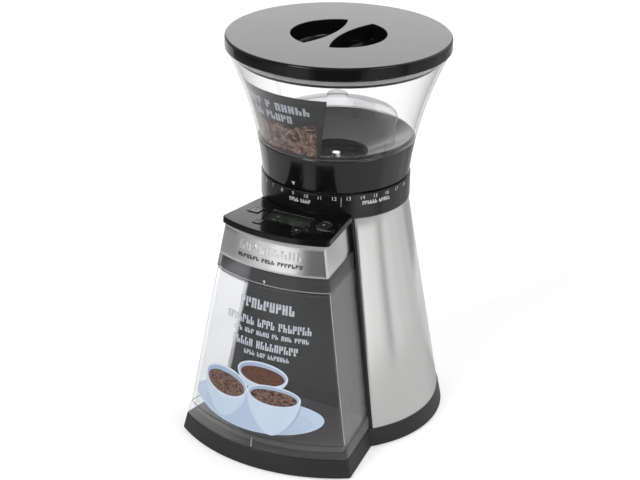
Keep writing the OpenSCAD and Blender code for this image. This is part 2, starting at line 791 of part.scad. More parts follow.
// A gear with its tooth 0 turned to an angle, round a bore
module gear(teeth, m, z, h, bore, turned) {
    translate([0, 0, z]) difference() {
        rotate([0, 0, turned]) linear_extrude(h) gear_outline(teeth, m);
        translate([0, 0, -1]) cylinder(r = bore, h = h + 2);
    }
}

// Directions of the two centre lines, and the turns that put the teeth in mesh
line_first = atan2(mid_y - motor_back, mid_x);
line_second = atan2(mid_y, mid_x);
mesh_mid_large = line_first + 180 + 180 / teeth_mid_large;
mesh_mid_small = line_second + 180 + 180 / teeth_mid_small;

module output_gear() {
    color([0.80, 0.76, 0.62]) on_burr_axis() {
        gear(teeth_output, module_second, z_gear_second, gear_second_h, shaft_r + 0.03, line_second);
        tube(shaft_r + 3.5, shaft_r + 0.03, z_gear_second - 3, z_gear_second + sliver);
    }
}

module mid_gear() {
    color([0.82, 0.80, 0.70]) on_burr_axis() translate([mid_x, mid_y, 0]) {
        gear(teeth_mid_large, module_first, z_gear_first, gear_first_h, mid_pin_r + shaft_gap,
            mesh_mid_large);
        gear(teeth_mid_small, module_second, z_gear_first + gear_first_h - sliver, gear_second_h + 1,
            mid_pin_r + shaft_gap, mesh_mid_small);
    }
}

module mid_pin() {
    color([0.66, 0.66, 0.68]) on_burr_axis() translate([mid_x, mid_y, 0])
        tube(mid_pin_r, 0, z_case + 0.8, z_cover + 1.8);
}

module motor_pinion() {
    color([0.80, 0.66, 0.32]) on_burr_axis() translate([0, motor_back, 0])
        gear(teeth_pinion, module_first, z_gear_first - 0.5, gear_first_h + 1, rotor_shaft_r + 0.02,
            line_first);
}

// Outline of the gearbox, round the gears, the motor and the mounts
module case_outline(inset) {
    hull() {
        circle(r = 25.5 - inset, $fn = 32);
        translate([mid_x, mid_y]) circle(r = 23.5 - inset, $fn = 32);
        translate([0, motor_back]) circle(r = motor_r - inset, $fn = 32);
        for (p = mount_places) translate(p) circle(r = 6 - inset, $fn = 32);
    }
}

module gearbox_case() {
    color([0.26, 0.26, 0.27]) on_burr_axis() difference() {
        union() {
            difference() {
                translate([0, 0, z_case]) linear_extrude(z_cover - z_case - 0.05) case_outline(0);
                translate([0, 0, z_case + case_t]) linear_extrude(z_cover) case_outline(case_wall);
            }
            for (p = mount_places) translate([p[0], p[1], 0]) tube(4.4, 0, z_case, z_cover - 0.05);
            tube(hub_r, 0, z_case, z_case + 6);
            translate([mid_x, mid_y, 0]) tube(5, 0, z_case, z_gear_first - 0.5);
        }
        tube(bearing_r + 0.02, 0, z_bearing_low, z_cover + 1);
        for (p = mount_places) translate([p[0], p[1], 0]) {
            tube(1.9, 0, 0, far);
            tube(3.4, 0, 0, z_case + 2.7);
        }
        translate([mid_x, mid_y, 0]) tube(mid_pin_r + 0.02, 0, z_case + 0.8, far);
        translate([0, motor_back, 0]) tube(rotor_shaft_r + 1, 0, 0, far);
        for (x = motor_screw_x) translate([x, motor_back, 0]) tube(1.7, 0, 0, far);
    }
}

module gearbox_cover() {
    color([0.30, 0.30, 0.31]) on_burr_axis() difference() {
        translate([0, 0, z_cover]) linear_extrude(case_t) case_outline(0);
        tube(shaft_r + 1, 0, 0, far);
        for (p = mount_places) translate([p[0], p[1], 0]) tube(1.9, 0, 0, far);
        translate([mid_x, mid_y, 0]) tube(mid_pin_r + 0.02, 0, 0, z_cover + 1.8);
    }
}

module gearbox_screws() {
    color([0.72, 0.72, 0.74]) on_burr_axis()
        for (p = mount_places) translate([p[0], p[1], 0]) {
            tube(3.2, 0, z_case + 0.1, z_case + 2.6);
            tube(1.6, 0, z_case + 2.5, z_tray + 1.7);
        }
}

module mount_bushes() {
    color([0.07, 0.07, 0.07]) on_burr_axis()
        for (p = mount_places) translate([p[0], p[1], 0])
            tube(5.6, 2, z_cover + case_t + 0.05, z_tray - 0.05);
}

// ---- Motor -----------------------------------------------------------------------------------

stack_foot = 24;
stack_h = 34;
rotor_slots = 12;
commutator_r = 8;
magnet_t = motor_r - motor_wall - rotor_r - 0.8;

// Everything in the motor turns or stands round this axis
module on_motor_axis() {
    on_burr_axis() translate([0, motor_back, 0]) children();
}

module rotor_shaft() {
    color([0.66, 0.66, 0.68]) on_motor_axis()
        tube(rotor_shaft_r, 0, z_motor - 14, z_gear_first + gear_first_h + 0.6);
}

module rotor_stack() {
    color([0.42, 0.40, 0.40]) on_motor_axis() difference() {
        tube(rotor_r, rotor_shaft_r + 0.02, z_motor + stack_foot, z_motor + stack_foot + stack_h);
        for (i = [0 : rotor_slots - 1]) rotate([0, 0, i * 360 / rotor_slots]) {
            block([rotor_r - 2.5, -0.9, 0], [rotor_r + 1, 0.9, far]);
            block([rotor_r - 9, -1.9, 0], [rotor_r - 2, 1.9, far]);
        }
    }
}

module rotor_windings() {
    color([0.72, 0.38, 0.16]) on_motor_axis()
        for (z = [z_motor + stack_foot - 6, z_motor + stack_foot + stack_h + 0.05])
            tube(rotor_r - 2.5, rotor_shaft_r + 3, z, z + 5.9);
}

module commutator() {
    color([0.74, 0.46, 0.24]) on_motor_axis() difference() {
        tube(commutator_r, rotor_shaft_r + 0.02, z_motor + 6, z_motor + 17);
        for (i = [0 : rotor_slots - 1]) rotate([0, 0, i * 360 / rotor_slots])
            block([commutator_r - 1.2, -0.3, 0], [commutator_r + 1, 0.3, far]);
    }
}

module motor_fan() {
    blades = 9;
    color([0.16, 0.16, 0.17]) on_motor_axis() difference() {
        union() {
            tube(7, 0, z_motor - 13, z_motor - 3);
            tube(motor_r - 3, 0, z_motor - 5, z_motor - 3.4);
            for (i = [0 : blades - 1]) rotate([0, 0, i * 360 / blades])
                block([5, -0.7, z_motor - 13], [motor_r - 3, 0.7, z_motor - 4]);
        }
        tube(rotor_shaft_r + 0.02, 0, 0, far);
    }
}

module motor_can() {
    vents = 6;
    color([0.58, 0.59, 0.60]) on_motor_axis() difference() {
        union() {
            tube(motor_r, motor_r - motor_wall, z_motor, z_motor_top);
            tube(motor_r - 1, 0, z_motor_top - motor_wall, z_motor_top);
            tube(7, 0, z_motor_top - 6, z_motor_top - 1);
        }
        tube(rotor_shaft_r + shaft_gap, 0, 0, far);
        for (x = motor_screw_x) translate([x, 0, 0]) tube(1.6, 0, 0, far);
        for (i = [0 : vents - 1]) rotate([0, 0, i * 360 / vents])
            block([motor_r - 5, -4, z_motor_top - 9], [motor_r + 1, 4, z_motor_top - 4]);
    }
}

module motor_screws() {
    color([0.72, 0.72, 0.74]) on_motor_axis()
        for (x = motor_screw_x) translate([x, 0, 0]) {
            tube(2.8, 0, z_case + case_t + 0.05, z_case + case_t + 2);
            tube(1.5, 0, z_motor_top - motor_wall - 1.5, z_case + case_t + 0.1);
        }
}

module motor_bell() {
    windows = 4;
    color([0.20, 0.20, 0.21]) on_motor_axis() difference() {
        union() {
            tube(motor_r - motor_wall - 0.1, 0, z_motor + 0.2, z_motor + 2.4);
            tube(7, 0, z_motor - 2, z_motor + 5);
        }
        tube(rotor_shaft_r + shaft_gap, 0, 0, far);
        for (i = [0 : windows - 1]) rotate([0, 0, 45 + i * 360 / windows])
            block([12, -6, z_motor - 1], [motor_r - 6, 6, z_motor + 3]);
    }
}

module motor_magnets() {
    color([0.22, 0.22, 0.24]) on_motor_axis() difference() {
        tube(rotor_r + 0.6 + magnet_t, rotor_r + 0.6, z_motor + stack_foot - 4,
            z_motor + stack_foot + stack_h + 4);
        block([-8, -far, 0], [8, far, far]);
    }
}

module motor_brushes() {
    color([0.15, 0.15, 0.16]) on_motor_axis()
        for (s = [-1, 1]) intersection() {
            block([s * 13 - 5.5, -2.5, z_motor + 8], [s * 13 + 5.5, 2.5, z_motor + 14]);
            tube(far, commutator_r + 0.2, 0, far);
        }
}

// ---- Mains board and switches ------------------------------------------------------------------

switch_z = z_head - 22;
z_power = z_plinth + 4;
power_y = [54, 73];
power_x = 27;

module power_board() {
    color([0.14, 0.36, 0.20]) on_burr_axis() {
        block([-power_x, power_y[0], z_power], [power_x, power_y[1], z_power + board_t]);
        for (x = [-1, 1], y = [power_y[0] + 3, power_y[1] - 3])
            translate([x * (power_x - 3), y, 0]) tube(2.4, 0, z_plinth + 0.05, z_power + sliver);
    }
}

module board_parts() {
    top = z_power + board_t + 0.05;
    color([0.20, 0.24, 0.34]) on_burr_axis() {
        translate([-17, 63.5, 0]) tube(6.5, 0, top, top + 20);
        block([-6, 57, top], [6, 70, top + 15]);
        block([11, 58, top], [24, 69, top + 12]);
    }
}

module chamber_switch() {
    front = -bay_back + housing_wall + 0.1;
    color([0.12, 0.12, 0.13]) on_burr_axis() {
        block([-8, front, switch_z - 6], [8, front + 9, switch_z + 6]);
        translate([0, front + 1, switch_z]) rotate([90, 0, 0])
            cylinder(r = 1.6, h = front + 1 + bay_back + 0.1);
    }
}

module hopper_switch() {
    color([0.12, 0.12, 0.13]) on_burr_axis() at_angle(pin_at) {
        block([-7, -ear_r - 4, deck_h - 14], [7, -ear_r + 3, deck_h - deck_t - 0.1]);
        translate([0, -pin_ring_r, 0]) tube(pin_r, 0, deck_h - 4, z_hopper - 0.3);
    }
}

// ---- Grounds chamber ---------------------------------------------------------------------------

wall_inset = band_step + 0.3;
cavity_inset = wall_inset + chamber_wall;
chamber_floor = 3.5;

module chamber() {
    color([0.75, 0.77, 0.78, 0.4]) on_burr_axis() difference() {
        union() {
            front_block(0.3, 0.3, z_chamber, z_chamber + band_h, chamber_back);
            front_block(wall_inset, wall_inset, z_chamber, z_chamber_top, chamber_back);
        }
        front_block(cavity_inset, cavity_inset, z_chamber + chamber_floor, z_chamber_top + 1,
            chamber_back + chamber_wall);
    }
}

module chamber_lid() {
    lip = 0.9;
    collar = 2;
    plug_inset = cavity_inset + 0.3;
    z0 = z_chamber_top + 0.1;
    z1 = z_chamber_lid_top;
    color([0.22, 0.22, 0.23, 0.8]) on_burr_axis() difference() {
        union() {
            difference() {
                front_block(lip, lip, z0, z1, chamber_back);
                front_block(lip + 2.4, lip + 2.4, z0 - 1, z1 - 2.2, chamber_back + 2.4);
            }
            difference() {
                front_block(plug_inset, plug_inset, z0 - 5, z1 - 1, chamber_back + chamber_wall + 0.3);
                front_block(plug_inset + 1.6, plug_inset + 1.6, z0 - 6, z1 - 2.2,
                    chamber_back + chamber_wall + 1.9);
            }
            block([-inlet_w / 2 - collar, -inlet_y - inlet_d / 2 - collar, z1 - 6],
                [inlet_w / 2 + collar, -inlet_y + inlet_d / 2 + collar, z1]);
        }
        block([-inlet_w / 2, -inlet_y - inlet_d / 2, 0], [inlet_w / 2, -inlet_y + inlet_d / 2, far]);
    }
}

// ---- Hopper ------------------------------------------------------------------------------------

// Outer radius of the hopper at a height above the table
function hopper_r(z) = hopper_foot_r + hopper_flare * (z - z_hopper)
    + hopper_curve * (z - z_hopper) * (z - z_hopper);
function skirt_in(z) = hopper_r(z) - skirt_wall;

floor_slope = 0.5;
z_throat_top = z_hopper + 12.7;
z_throat = z_hopper + 2.7;
z_spigot = z_skirt_top - 7.5;
spigot_gap = 0.1;
profile_steps = 14;
// Height of the sloped floor's upper face at a radius
function floor_z(r) = z_throat_top + floor_slope * (r - throat_r);

module hopper() {
    z_wall = z_skirt_top + 4;
    outer = [for (i = [0 : profile_steps]) let (z = z_mouth + (z_skirt_top - z_mouth) * i / profile_steps)
        [hopper_r(z), z]];
    inner = [for (i = [0 : profile_steps - 2]) let (z = z_wall + (z_mouth - z_wall) * i / (profile_steps - 2))
        [hopper_r(z) - hopper_wall, z]];
    spigot_r = skirt_in(z_spigot) - spigot_gap;
    floor_t = 2.6;
    color([0.85, 0.87, 0.88, 0.35]) on_burr_axis() rotate_extrude() polygon(concat(outer, [
        [skirt_in(z_skirt_top) - spigot_gap, z_skirt_top], [spigot_r, z_spigot],
        [spigot_r - hopper_wall, z_spigot],
        [spigot_r - hopper_wall, floor_z(spigot_r - hopper_wall) - floor_t],
        [throat_r + 2.2, floor_z(throat_r + 2.2) - floor_t], [throat_r + 2.2, z_throat],
        [throat_r, z_throat], [throat_r, z_throat_top],
        [hopper_r(z_wall) - hopper_wall - 1, floor_z(hopper_r(z_wall) - hopper_wall - 1)]], inner));
}

module hopper_skirt() {
    tab_angles = [60, 180, 300];
    flange_r = carrier_r - 4;
    color([0.07, 0.07, 0.08]) on_burr_axis() {
        difference() {
            rotate_extrude() polygon([
                [flange_r, z_hopper], [hopper_r(z_hopper), z_hopper],
                [hopper_r(z_hopper + skirt_h / 2), z_hopper + skirt_h / 2],
                [hopper_r(z_skirt_top), z_skirt_top - 0.1],
                [skirt_in(z_skirt_top), z_skirt_top - 0.1],
                [skirt_in(z_spigot), z_spigot],
                [skirt_in(z_hopper + skirt_h / 2), z_hopper + skirt_h / 2],
                [skirt_in(z_hopper + 2.2), z_hopper + 2.2], [flange_r, z_hopper + 2.2]]);
            // the pointer that shows the setting
            at_angle(setting_angle(setting_now)) translate([0, -hopper_r(z_hopper), z_hopper + 4.7])
                rotate([90, 90, 0]) cylinder(r = 1.8, h = 1, center = true, $fn = 3);
        }
        // tabs that turn the burr carrier
        for (a = tab_angles) at_angle(a) intersection() {
            block([-4, -carrier_r, z_ring_burr + 7], [4, -flange_r + 1, z_hopper + 1]);
            tube(carrier_r - 0.8, flange_r + 0.2, 0, far);
        }
    }
}

module finger_guard() {
    z_brim = z_skirt_top + 16.5;
    z_peak = z_brim + 12;
    knob_r = 8;
    windows = 4;
    window_w = 50;
    color([0.88, 0.90, 0.91, 0.35]) on_burr_axis() difference() {
        union() {
            tube(guard_r, guard_r - guard_wall, floor_z(guard_r) + 0.1, z_brim);
            difference() {
                translate([0, 0, z_brim - 0.5]) cylinder(r1 = guard_r, r2 = knob_r, h = z_peak - z_brim);
                translate([0, 0, z_brim - 0.5 - guard_wall - sliver])
                    cylinder(r1 = guard_r, r2 = knob_r, h = z_peak - z_brim);
            }
            translate([0, 0, z_peak - 2.5]) difference() {
                cylinder(r = knob_r, h = 6.5);
                translate([0, 0, -1]) cylinder(r = knob_r - guard_wall, h = 5.7);
            }
        }
        for (i = [0 : windows - 1]) rotate([0, 0, 45 + i * 360 / windows])
            block([0, -window_w / 2, 0], [far, window_w / 2, z_brim - 4]);
    }
}

// ---- Lid -----------------------------------------------------------------------------------------

lid_r = hopper_r(z_mouth) + lid_lip;
plug_r = hopper_r(z_mouth - plug_h) - hopper_wall - 1.2;
seal_h = 3;
z_seal = z_lid - plug_h + 2;
grip_side_x = grip_waist / 2 + grip_side_r;

// The two almond-shaped finger recesses, grown outwards by a wall
module grip_recesses(z0, wall) {
    for (s = [-1, 1]) intersection() {
        tube(grip_r + wall, 0, z0, z_lid_top + 1);
        translate([s * grip_side_x, 0, 0]) tube(grip_side_r + wall, 0, z0, z_lid_top + 1);
    }
}

module lid() {
    z_cup = z_lid_top - grip_depth - lid_wall;
    color([0.10, 0.10, 0.11]) on_burr_axis() difference() {
        union() {
            difference() {
                tube(lid_r, 0, z_lid, z_lid_top);
                tube(lid_r - lid_wall, 0, z_lid - 1, z_lid_top - lid_wall);
            }
            tube(plug_r, plug_r - 2, z_lid - plug_h, z_lid_top - 1);
            intersection() {
                tube(grip_r + lid_wall, 0, z_cup, z_lid_top - 1);
                grip_recesses(z_cup, lid_wall);
            }
        }
        grip_recesses(z_lid_top - grip_depth, 0);
        // the seal's groove
        tube(plug_r + 1, plug_r - 0.8, z_seal, z_seal + seal_h);
    }
}

module lid_seal() {
    color([0.80, 0.80, 0.78]) on_burr_axis()
        tube(plug_r + 0.7, plug_r - 0.7, z_seal + 0.1, z_seal + seal_h - 0.1);
}

// ---- Drawing -------------------------------------------------------------------------------------

plinth();
bottom_plate();
feet();
plate_screws();
cord_bushing();
steel_cone();
inner_housing();
head_frame();
fascia();
control_panel();
display_lens();
display_module();
panel_board();
key_left_rear();
key_right_rear();
key_left_front();
key_right_front();
dial_ring();
ramp_ring();
burr_tray();
tray_screws();
chute();
gearbox_case();
gearbox_cover();
gearbox_screws();
mount_bushes();
bearings();
drive_shaft();
output_gear();
impeller();
cone_burr();
burr_nut();
ring_burr();
burr_carrier();
mid_gear();
mid_pin();
motor_pinion();
rotor_shaft();
rotor_stack();
rotor_windings();
commutator();
motor_fan();
motor_can();
motor_screws();
motor_bell();
motor_magnets();
motor_brushes();
power_board();
board_parts();
chamber_switch();
hopper_switch();
chamber();
chamber_lid();
hopper();
hopper_skirt();
finger_guard();
lid();
lid_seal();
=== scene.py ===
"""Looks of the burr coffee grinder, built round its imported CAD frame.

Shapes are worked in millimetres about the burr axis, z up from the table and the front towards -Y.
Each one is moved to the row frame, in metres, when it becomes a piece.
"""

import json
import math
import random

import bmesh
import bpy
from mathutils import Matrix, Vector


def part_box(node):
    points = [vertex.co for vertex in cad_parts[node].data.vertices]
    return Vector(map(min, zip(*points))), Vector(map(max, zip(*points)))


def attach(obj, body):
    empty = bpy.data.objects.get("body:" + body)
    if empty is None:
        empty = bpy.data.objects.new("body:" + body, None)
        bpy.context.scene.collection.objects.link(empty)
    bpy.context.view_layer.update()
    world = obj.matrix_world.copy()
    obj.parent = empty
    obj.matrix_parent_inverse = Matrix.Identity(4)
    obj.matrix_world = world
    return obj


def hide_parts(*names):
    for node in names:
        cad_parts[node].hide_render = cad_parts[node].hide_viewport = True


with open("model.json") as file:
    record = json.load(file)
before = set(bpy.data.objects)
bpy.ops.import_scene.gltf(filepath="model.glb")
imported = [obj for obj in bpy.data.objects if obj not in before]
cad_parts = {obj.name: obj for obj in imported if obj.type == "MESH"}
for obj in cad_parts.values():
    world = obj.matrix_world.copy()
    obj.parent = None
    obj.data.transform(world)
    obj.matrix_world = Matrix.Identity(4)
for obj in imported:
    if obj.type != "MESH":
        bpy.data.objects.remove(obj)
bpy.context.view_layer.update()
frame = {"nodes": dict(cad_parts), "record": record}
scene = bpy.context.scene
MM = 0.001


def box_mm(node):
    """Lowest and highest corner of a CAD node, in millimetres."""
    low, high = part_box(node)
    return low / MM, high / MM


lid_low, lid_high = box_mm("lid")
AXIS_X = (lid_low.x + lid_high.x) / 2
AXIS_Y = (lid_low.y + lid_high.y) / 2
TO_ROW = Matrix.Scale(MM, 4) @ Matrix.Translation((AXIS_X, AXIS_Y, 0))

# ---- Sizes of the grinder ---------------------------------------------------------------------

FOOT_DROP = box_mm("plinth")[0].z
PLINTH_TOP = box_mm("plinth")[1].z
DECK = box_mm("steel_cone")[1].z
CONE_FOOT_R = 86.8
CONE_LEAN = (CONE_FOOT_R - 56.7) / (DECK - PLINTH_TOP)
SHEET = 0.8
CHANNEL = 2.7
SIDE_AT_AXIS = 58.3
SPLAY = 0.148
LEAN = 0.157
REACH = 131.1
RECLINE = 0.15
TONGUE_FLARE = 1.2
TONGUE_TIP = REACH + 0.7
PLINTH_R = 90.5
PLINTH_LEAN = 2.9 / (PLINTH_TOP - FOOT_DROP)
FASCIA_FOOT = box_mm("fascia")[0].z
PANEL_FOOT = box_mm("control_panel")[0].z
PANEL_TOP = box_mm("control_panel")[1].z
PANEL_OVERHANG = 1.6
PANEL_FRONT_R = REACH - RECLINE * PANEL_FOOT + 0.4
DIAL_LOW, DIAL_HIGH = box_mm("dial_ring")
DIAL_R = (DIAL_HIGH.x - DIAL_LOW.x) / 2
SETTINGS = 18
SETTING_PITCH = 10.75
SETTING_NOW = 9
HOPPER_FOOT = DIAL_HIGH.z + 0.6
HOPPER_MOUTH = box_mm("hopper")[1].z
SKIRT_TOP = box_mm("hopper_skirt")[1].z
HOPPER_WALL = 2.2
THROAT_R = 24.0
GUARD_R = (box_mm("finger_guard")[1].x - box_mm("finger_guard")[0].x) / 2
GUARD_TOP = box_mm("finger_guard")[1].z
LID_R = (lid_high.x - lid_low.x) / 2
LID_FOOT = HOPPER_MOUTH + 0.3
LID_TOP = lid_high.z - 0.05
LID_PLUG_FOOT = lid_low.z
CHAMBER_FOOT = box_mm("chamber")[0].z
CHAMBER_TOP = box_mm("chamber")[1].z
CHAMBER_BACK = 43.0
CHAMBER_LID_TOP = box_mm("chamber_lid")[1].z


def hopper_r(z):
    """Outer radius of the hopper and its skirt at a height."""
    up = z - HOPPER_FOOT
    return 56.9 + 0.1 * up + 0.0019 * up * up


def cone_r(z):
    """Outer radius of the steel cone at a height."""
    return CONE_FOOT_R - CONE_LEAN * (z - PLINTH_TOP)


def setting_angle(n):
    """Angle of a grind setting's mark on the dial, in radians."""
    return math.radians((n - (SETTINGS + 1) / 2) * SETTING_PITCH)


# ---- Working shapes ---------------------------------------------------------------------------


def lathe(profile, steps=144, start=0.0, turn=360.0, shut=True):
    """A profile of (radius, height) points turned about the axis. It is a closed one if shut is set."""
    bm = bmesh.new()
    sine, cosine = math.sin(math.radians(start)), math.cos(math.radians(start))
    ring = [bm.verts.new((r * sine, -r * cosine, z)) for r, z in profile]
    full = turn >= 360
    if full or not shut:
        edges = [bm.edges.new(pair) for pair in zip(ring, ring[1:] + ring[:1] if shut else ring[1:])]
        geometry = ring + edges
    else:
        face = bm.faces.new(ring)
        geometry = [face, *face.edges, *face.verts]
    bmesh.ops.spin(
        bm,
        geom=geometry,
        cent=(0, 0, 0),
        axis=(0, 0, 1),
        angle=math.radians(turn),
        steps=steps,
        use_merge=full,
    )
    bmesh.ops.remove_doubles(bm, verts=bm.verts, dist=0.002)
    return bm


def ring(bm, count, place, level):
    """A closed ring of edges in a working mesh. place(i, level) says where its points go."""
    order = bm.verts.layers.int.get("order") or bm.verts.layers.int.new("order")
    made = bmesh.ops.create_circle(bm, cap_ends=False, radius=1, segments=count)["verts"]
    for i, vert in enumerate(made):
        vert[order] = i
        vert.co = place(i, level)
    return list({edge for vert in made for edge in vert.link_edges})


def grow(bm, edges, place, levels):
    """Extrudes a ring through further levels, and returns the last ring's edges."""
    order = bm.verts.layers.int.get("order")
    for level in levels:
        made = bmesh.ops.extrude_edge_only(bm, edges=edges)["geom"]
        fresh = {item for item in made if isinstance(item, bmesh.types.BMVert)}
        for vert in fresh:
            vert.co = place(vert[order], level)
        edges = [item for item in made if isinstance(item, bmesh.types.BMEdge) and set(item.verts) <= fresh]
    return edges


def tower(count, place, levels, foot=True, top=True):
    """Rings joined one above another, with a flat face at either end where it is asked for."""
    bm = bmesh.new()
    first = ring(bm, count, place, levels[0])
    if foot:
        bmesh.ops.edgeloop_fill(bm, edges=first)
    last = grow(bm, first, place, levels[1:])
    if top:
        bmesh.ops.edgeloop_fill(bm, edges=last)
    return bm


def fill_between(bm, loops):
    """A flat face between an outer loop of edges and the holes inside it."""
    edges = [edge for loop in loops for edge in loop]
    bmesh.ops.triangle_fill(bm, use_beauty=True, use_dissolve=False, edges=edges)


def pierced(outer, holes, levels, floor=True):
    """A plate filled between an outline and its holes, and carried down through further levels.

    outer and each hole are (count, place) pairs. The plate gets an underside if floor is set."""
    bm = bmesh.new()
    rings = [ring(bm, count, place, levels[0]) for count, place in [outer, *holes]]
    fill_between(bm, rings)
    ends = [grow(bm, loop, place, levels[1:]) for loop, (count, place) in zip(rings, [outer, *holes])]
    if floor:
        fill_between(bm, ends)
    return bm


def sheet(columns, rows, place):
    """A flat grid laid out by place(u, v), with u and v from 0 to 1."""
    bm = bmesh.new()
    bmesh.ops.create_grid(bm, x_segments=columns, y_segments=rows, size=0.5)
    for vert in bm.verts:
        vert.co = place(vert.co.x + 0.5, vert.co.y + 0.5)
    return bm


def disc(place, count=40, rings=6):
    """A filled disc. place(x, y) puts a point of the unit circle."""
    def at(i, share):
        angle = 2 * math.pi * i / count
        return place(share * math.cos(angle), share * math.sin(angle))

    return tower(count, at, [1 - step / rings * 0.96 for step in range(rings + 1)], foot=False)


def joined(parts):
    """Several working meshes as one."""
    whole = bmesh.new()
    for part in parts:
        mesh = bpy.data.meshes.new("part")
        part.to_mesh(mesh)
        part.free()
        whole.from_mesh(mesh)
        bpy.data.meshes.remove(mesh)
    return whole


def polar(r, angle, z):
    """A point at a distance and an angle from the front, in radians, positive towards +X."""
    return Vector((r * math.sin(angle), -r * math.cos(angle), z))


def meeting(side, r):
    """How far forward a splayed side meets a circle about the axis."""
    s = 1 + SPLAY * SPLAY
    return (-side * SPLAY + math.sqrt(side * side * SPLAY * SPLAY - s * (side * side - r * r))) / s


def corner_arc(side, reach, corner):
    """Centre of a corner between the splayed side and the round front, and where its arc starts and ends."""
    inset_side = side - math.hypot(1, SPLAY) * corner
    forward = meeting(inset_side, reach - corner)
    across = inset_side + SPLAY * forward
    return across, forward, math.atan2(-SPLAY, 1), math.atan2(forward, across)


def wedge(side, reach, corner, back, bend=6, arc=24, straight=8):
    """Outline of the front block from its left rear corner, round the front, to its right rear one."""
    across, forward, start, end = corner_arc(side, reach, corner)
    half = []
    first_f = forward + corner * math.sin(start)
    for i in range(straight):
        f = back + (first_f - back) * i / straight
        half.append((side + SPLAY * f, f))
    for i in range(bend + 1):
        angle = start + (end - start) * i / bend
        half.append((across + corner * math.cos(angle), forward + corner * math.sin(angle)))
    turn = math.atan2(across, forward)
    for i in range(1, arc // 2 + 1):
        angle = turn * (1 - i / (arc // 2))
        half.append((reach * math.sin(angle), reach * math.cos(angle)))
    left = [(-x, f) for x, f in half]
    return [(x, -f) for x, f in left + half[-2::-1]]


def block_outline(inset, z, corner=4.0, back=CHAMBER_BACK, front=None):
    """The front block's outline at a height, its sides and its front each taken in by a distance."""
    side = SIDE_AT_AXIS - LEAN * z - inset * math.hypot(1, SPLAY)
    front = inset if front is None else front
    return wedge(side, REACH - RECLINE * z - front, max(0.6, corner - inset), back)


def placer(outline):
    """A place function for rings, from a function of a level that returns (points, height)."""
    kept = {}

    def place(i, level):
        if level not in kept:
            kept[level] = outline(level)
        points, z = kept[level]
        return Vector((points[i][0], points[i][1], z))

    return place


def rounded_box(x, y, half_w, half_d, corner, bend=5):
    """A place function for a rounded rectangle. Its level is (growth, height)."""
    def place(i, level):
        grown, z = level
        quarter, step = divmod(i, bend)
        angle = math.pi / 2 * (quarter + step / (bend - 1))
        r = max(0.05, corner + grown)
        sx = 1 if quarter in (0, 3) else -1
        sy = 1 if quarter in (0, 1) else -1
        return Vector((
            x + sx * (half_w - corner) + r * math.cos(angle),
            y + sy * (half_d - corner) + r * math.sin(angle),
            z,
        ))

    return 4 * bend, place


# ---- Materials ----------------------------------------------------------------------------------


class Wire:
    """A value on its way through a material. Sums on it add Math nodes."""

    def __init__(self, paint, socket):
        self.paint = paint
        self.socket = socket

    def __add__(self, other):
        return self.paint.maths("ADD", self, other)

    def __radd__(self, other):
        return self.paint.maths("ADD", other, self)

    def __sub__(self, other):
        return self.paint.maths("SUBTRACT", self, other)

    def __rsub__(self, other):
        return self.paint.maths("SUBTRACT", other, self)

    def __mul__(self, other):
        return self.paint.maths("MULTIPLY", self, other)

    def __rmul__(self, other):
        return self.paint.maths("MULTIPLY", other, self)

    def __pow__(self, other):
        return self.paint.maths("POWER", self, other)

    def __rpow__(self, other):
        return self.paint.maths("POWER", other, self)


class Paint:
    """One material, or the studio's sky, and the nodes that make its pattern."""

    def __init__(self, name, owner=None):
        self.owner = owner or bpy.data.materials.new(name)
        self.owner.use_nodes = True
        self.tree = self.owner.node_tree
        self.tree.nodes.clear()

    def node(self, kind, values=(), out=0, **settings):
        """Adds a node with its settings and inputs, and gives one of its outputs."""
        node = self.tree.nodes.new(kind)
        for name, value in settings.items():
            setattr(node, name, value)
        for key, value in dict(values).items():
            if isinstance(value, Wire):
                self.tree.links.new(value.socket, node.inputs[key])
            else:
                node.inputs[key].default_value = value
        return Wire(self, node.outputs[out]) if node.outputs else None

    def maths(self, kind, first, second=0.0):
        return self.node("ShaderNodeMath", {0: first, 1: second}, operation=kind)

    def place(self, stretch=(1, 1, 1)):
        """Where a point is on the piece, in metres from the burr axis, stretched."""
        spot = self.node("ShaderNodeTexCoord", out="Object")
        centre = (0, -AXIS_Y * MM * stretch[1], 0)
        return self.node("ShaderNodeMapping", {"Vector": spot, "Location": centre, "Scale": stretch})

    def noise(self, scale, detail=3.0, stretch=(1, 1, 1)):
        values = {"Vector": self.place(stretch), "Scale": scale, "Detail": detail}
        return self.node("ShaderNodeTexNoise", values)

    def mix(self, factor, first, second):
        values = {0: factor, 6: first, 7: second}
        return self.node("ShaderNodeMix", values, out=2, data_type="RGBA")

    def bump(self, height, strength, distance):
        values = {"Height": height, "Strength": strength, "Distance": distance}
        return self.node("ShaderNodeBump", values)

    def body(self, values):
        return self.node("ShaderNodeBsdfPrincipled", values, out="BSDF")

    def done(self, shader, output="ShaderNodeOutputMaterial"):
        """Links the finished shader, and gives the material back."""
        self.node(output, {"Surface": shader})
        return self.owner


def grey(value, warm=0.0):
    return (value * (1 + warm), value, value * (1 - warm), 1)


def shade(colour, by):
    return (*[min(1.0, part * by) for part in colour[:3]], 1)


def moulded(name, colour, rough, grain=0.25, shine=0.5, specks=1400):
    """Moulded plastic or rubber: a fine grain, patchy wear in its gloss, and a slight change in colour."""
    paint = Paint(name)
    patches = paint.noise(38, 4)
    fine = paint.noise(specks, 2)
    tone = paint.mix(patches * 0.7 + fine * 0.3, shade(colour, 0.86), shade(colour, 1.14))
    return paint.done(paint.body({
        "Base Color": tone,
        "Roughness": patches * 0.1 + (rough - 0.05),
        "Specular IOR Level": shine,
        "Normal": paint.bump(fine, grain, 0.04 * MM),
    }))


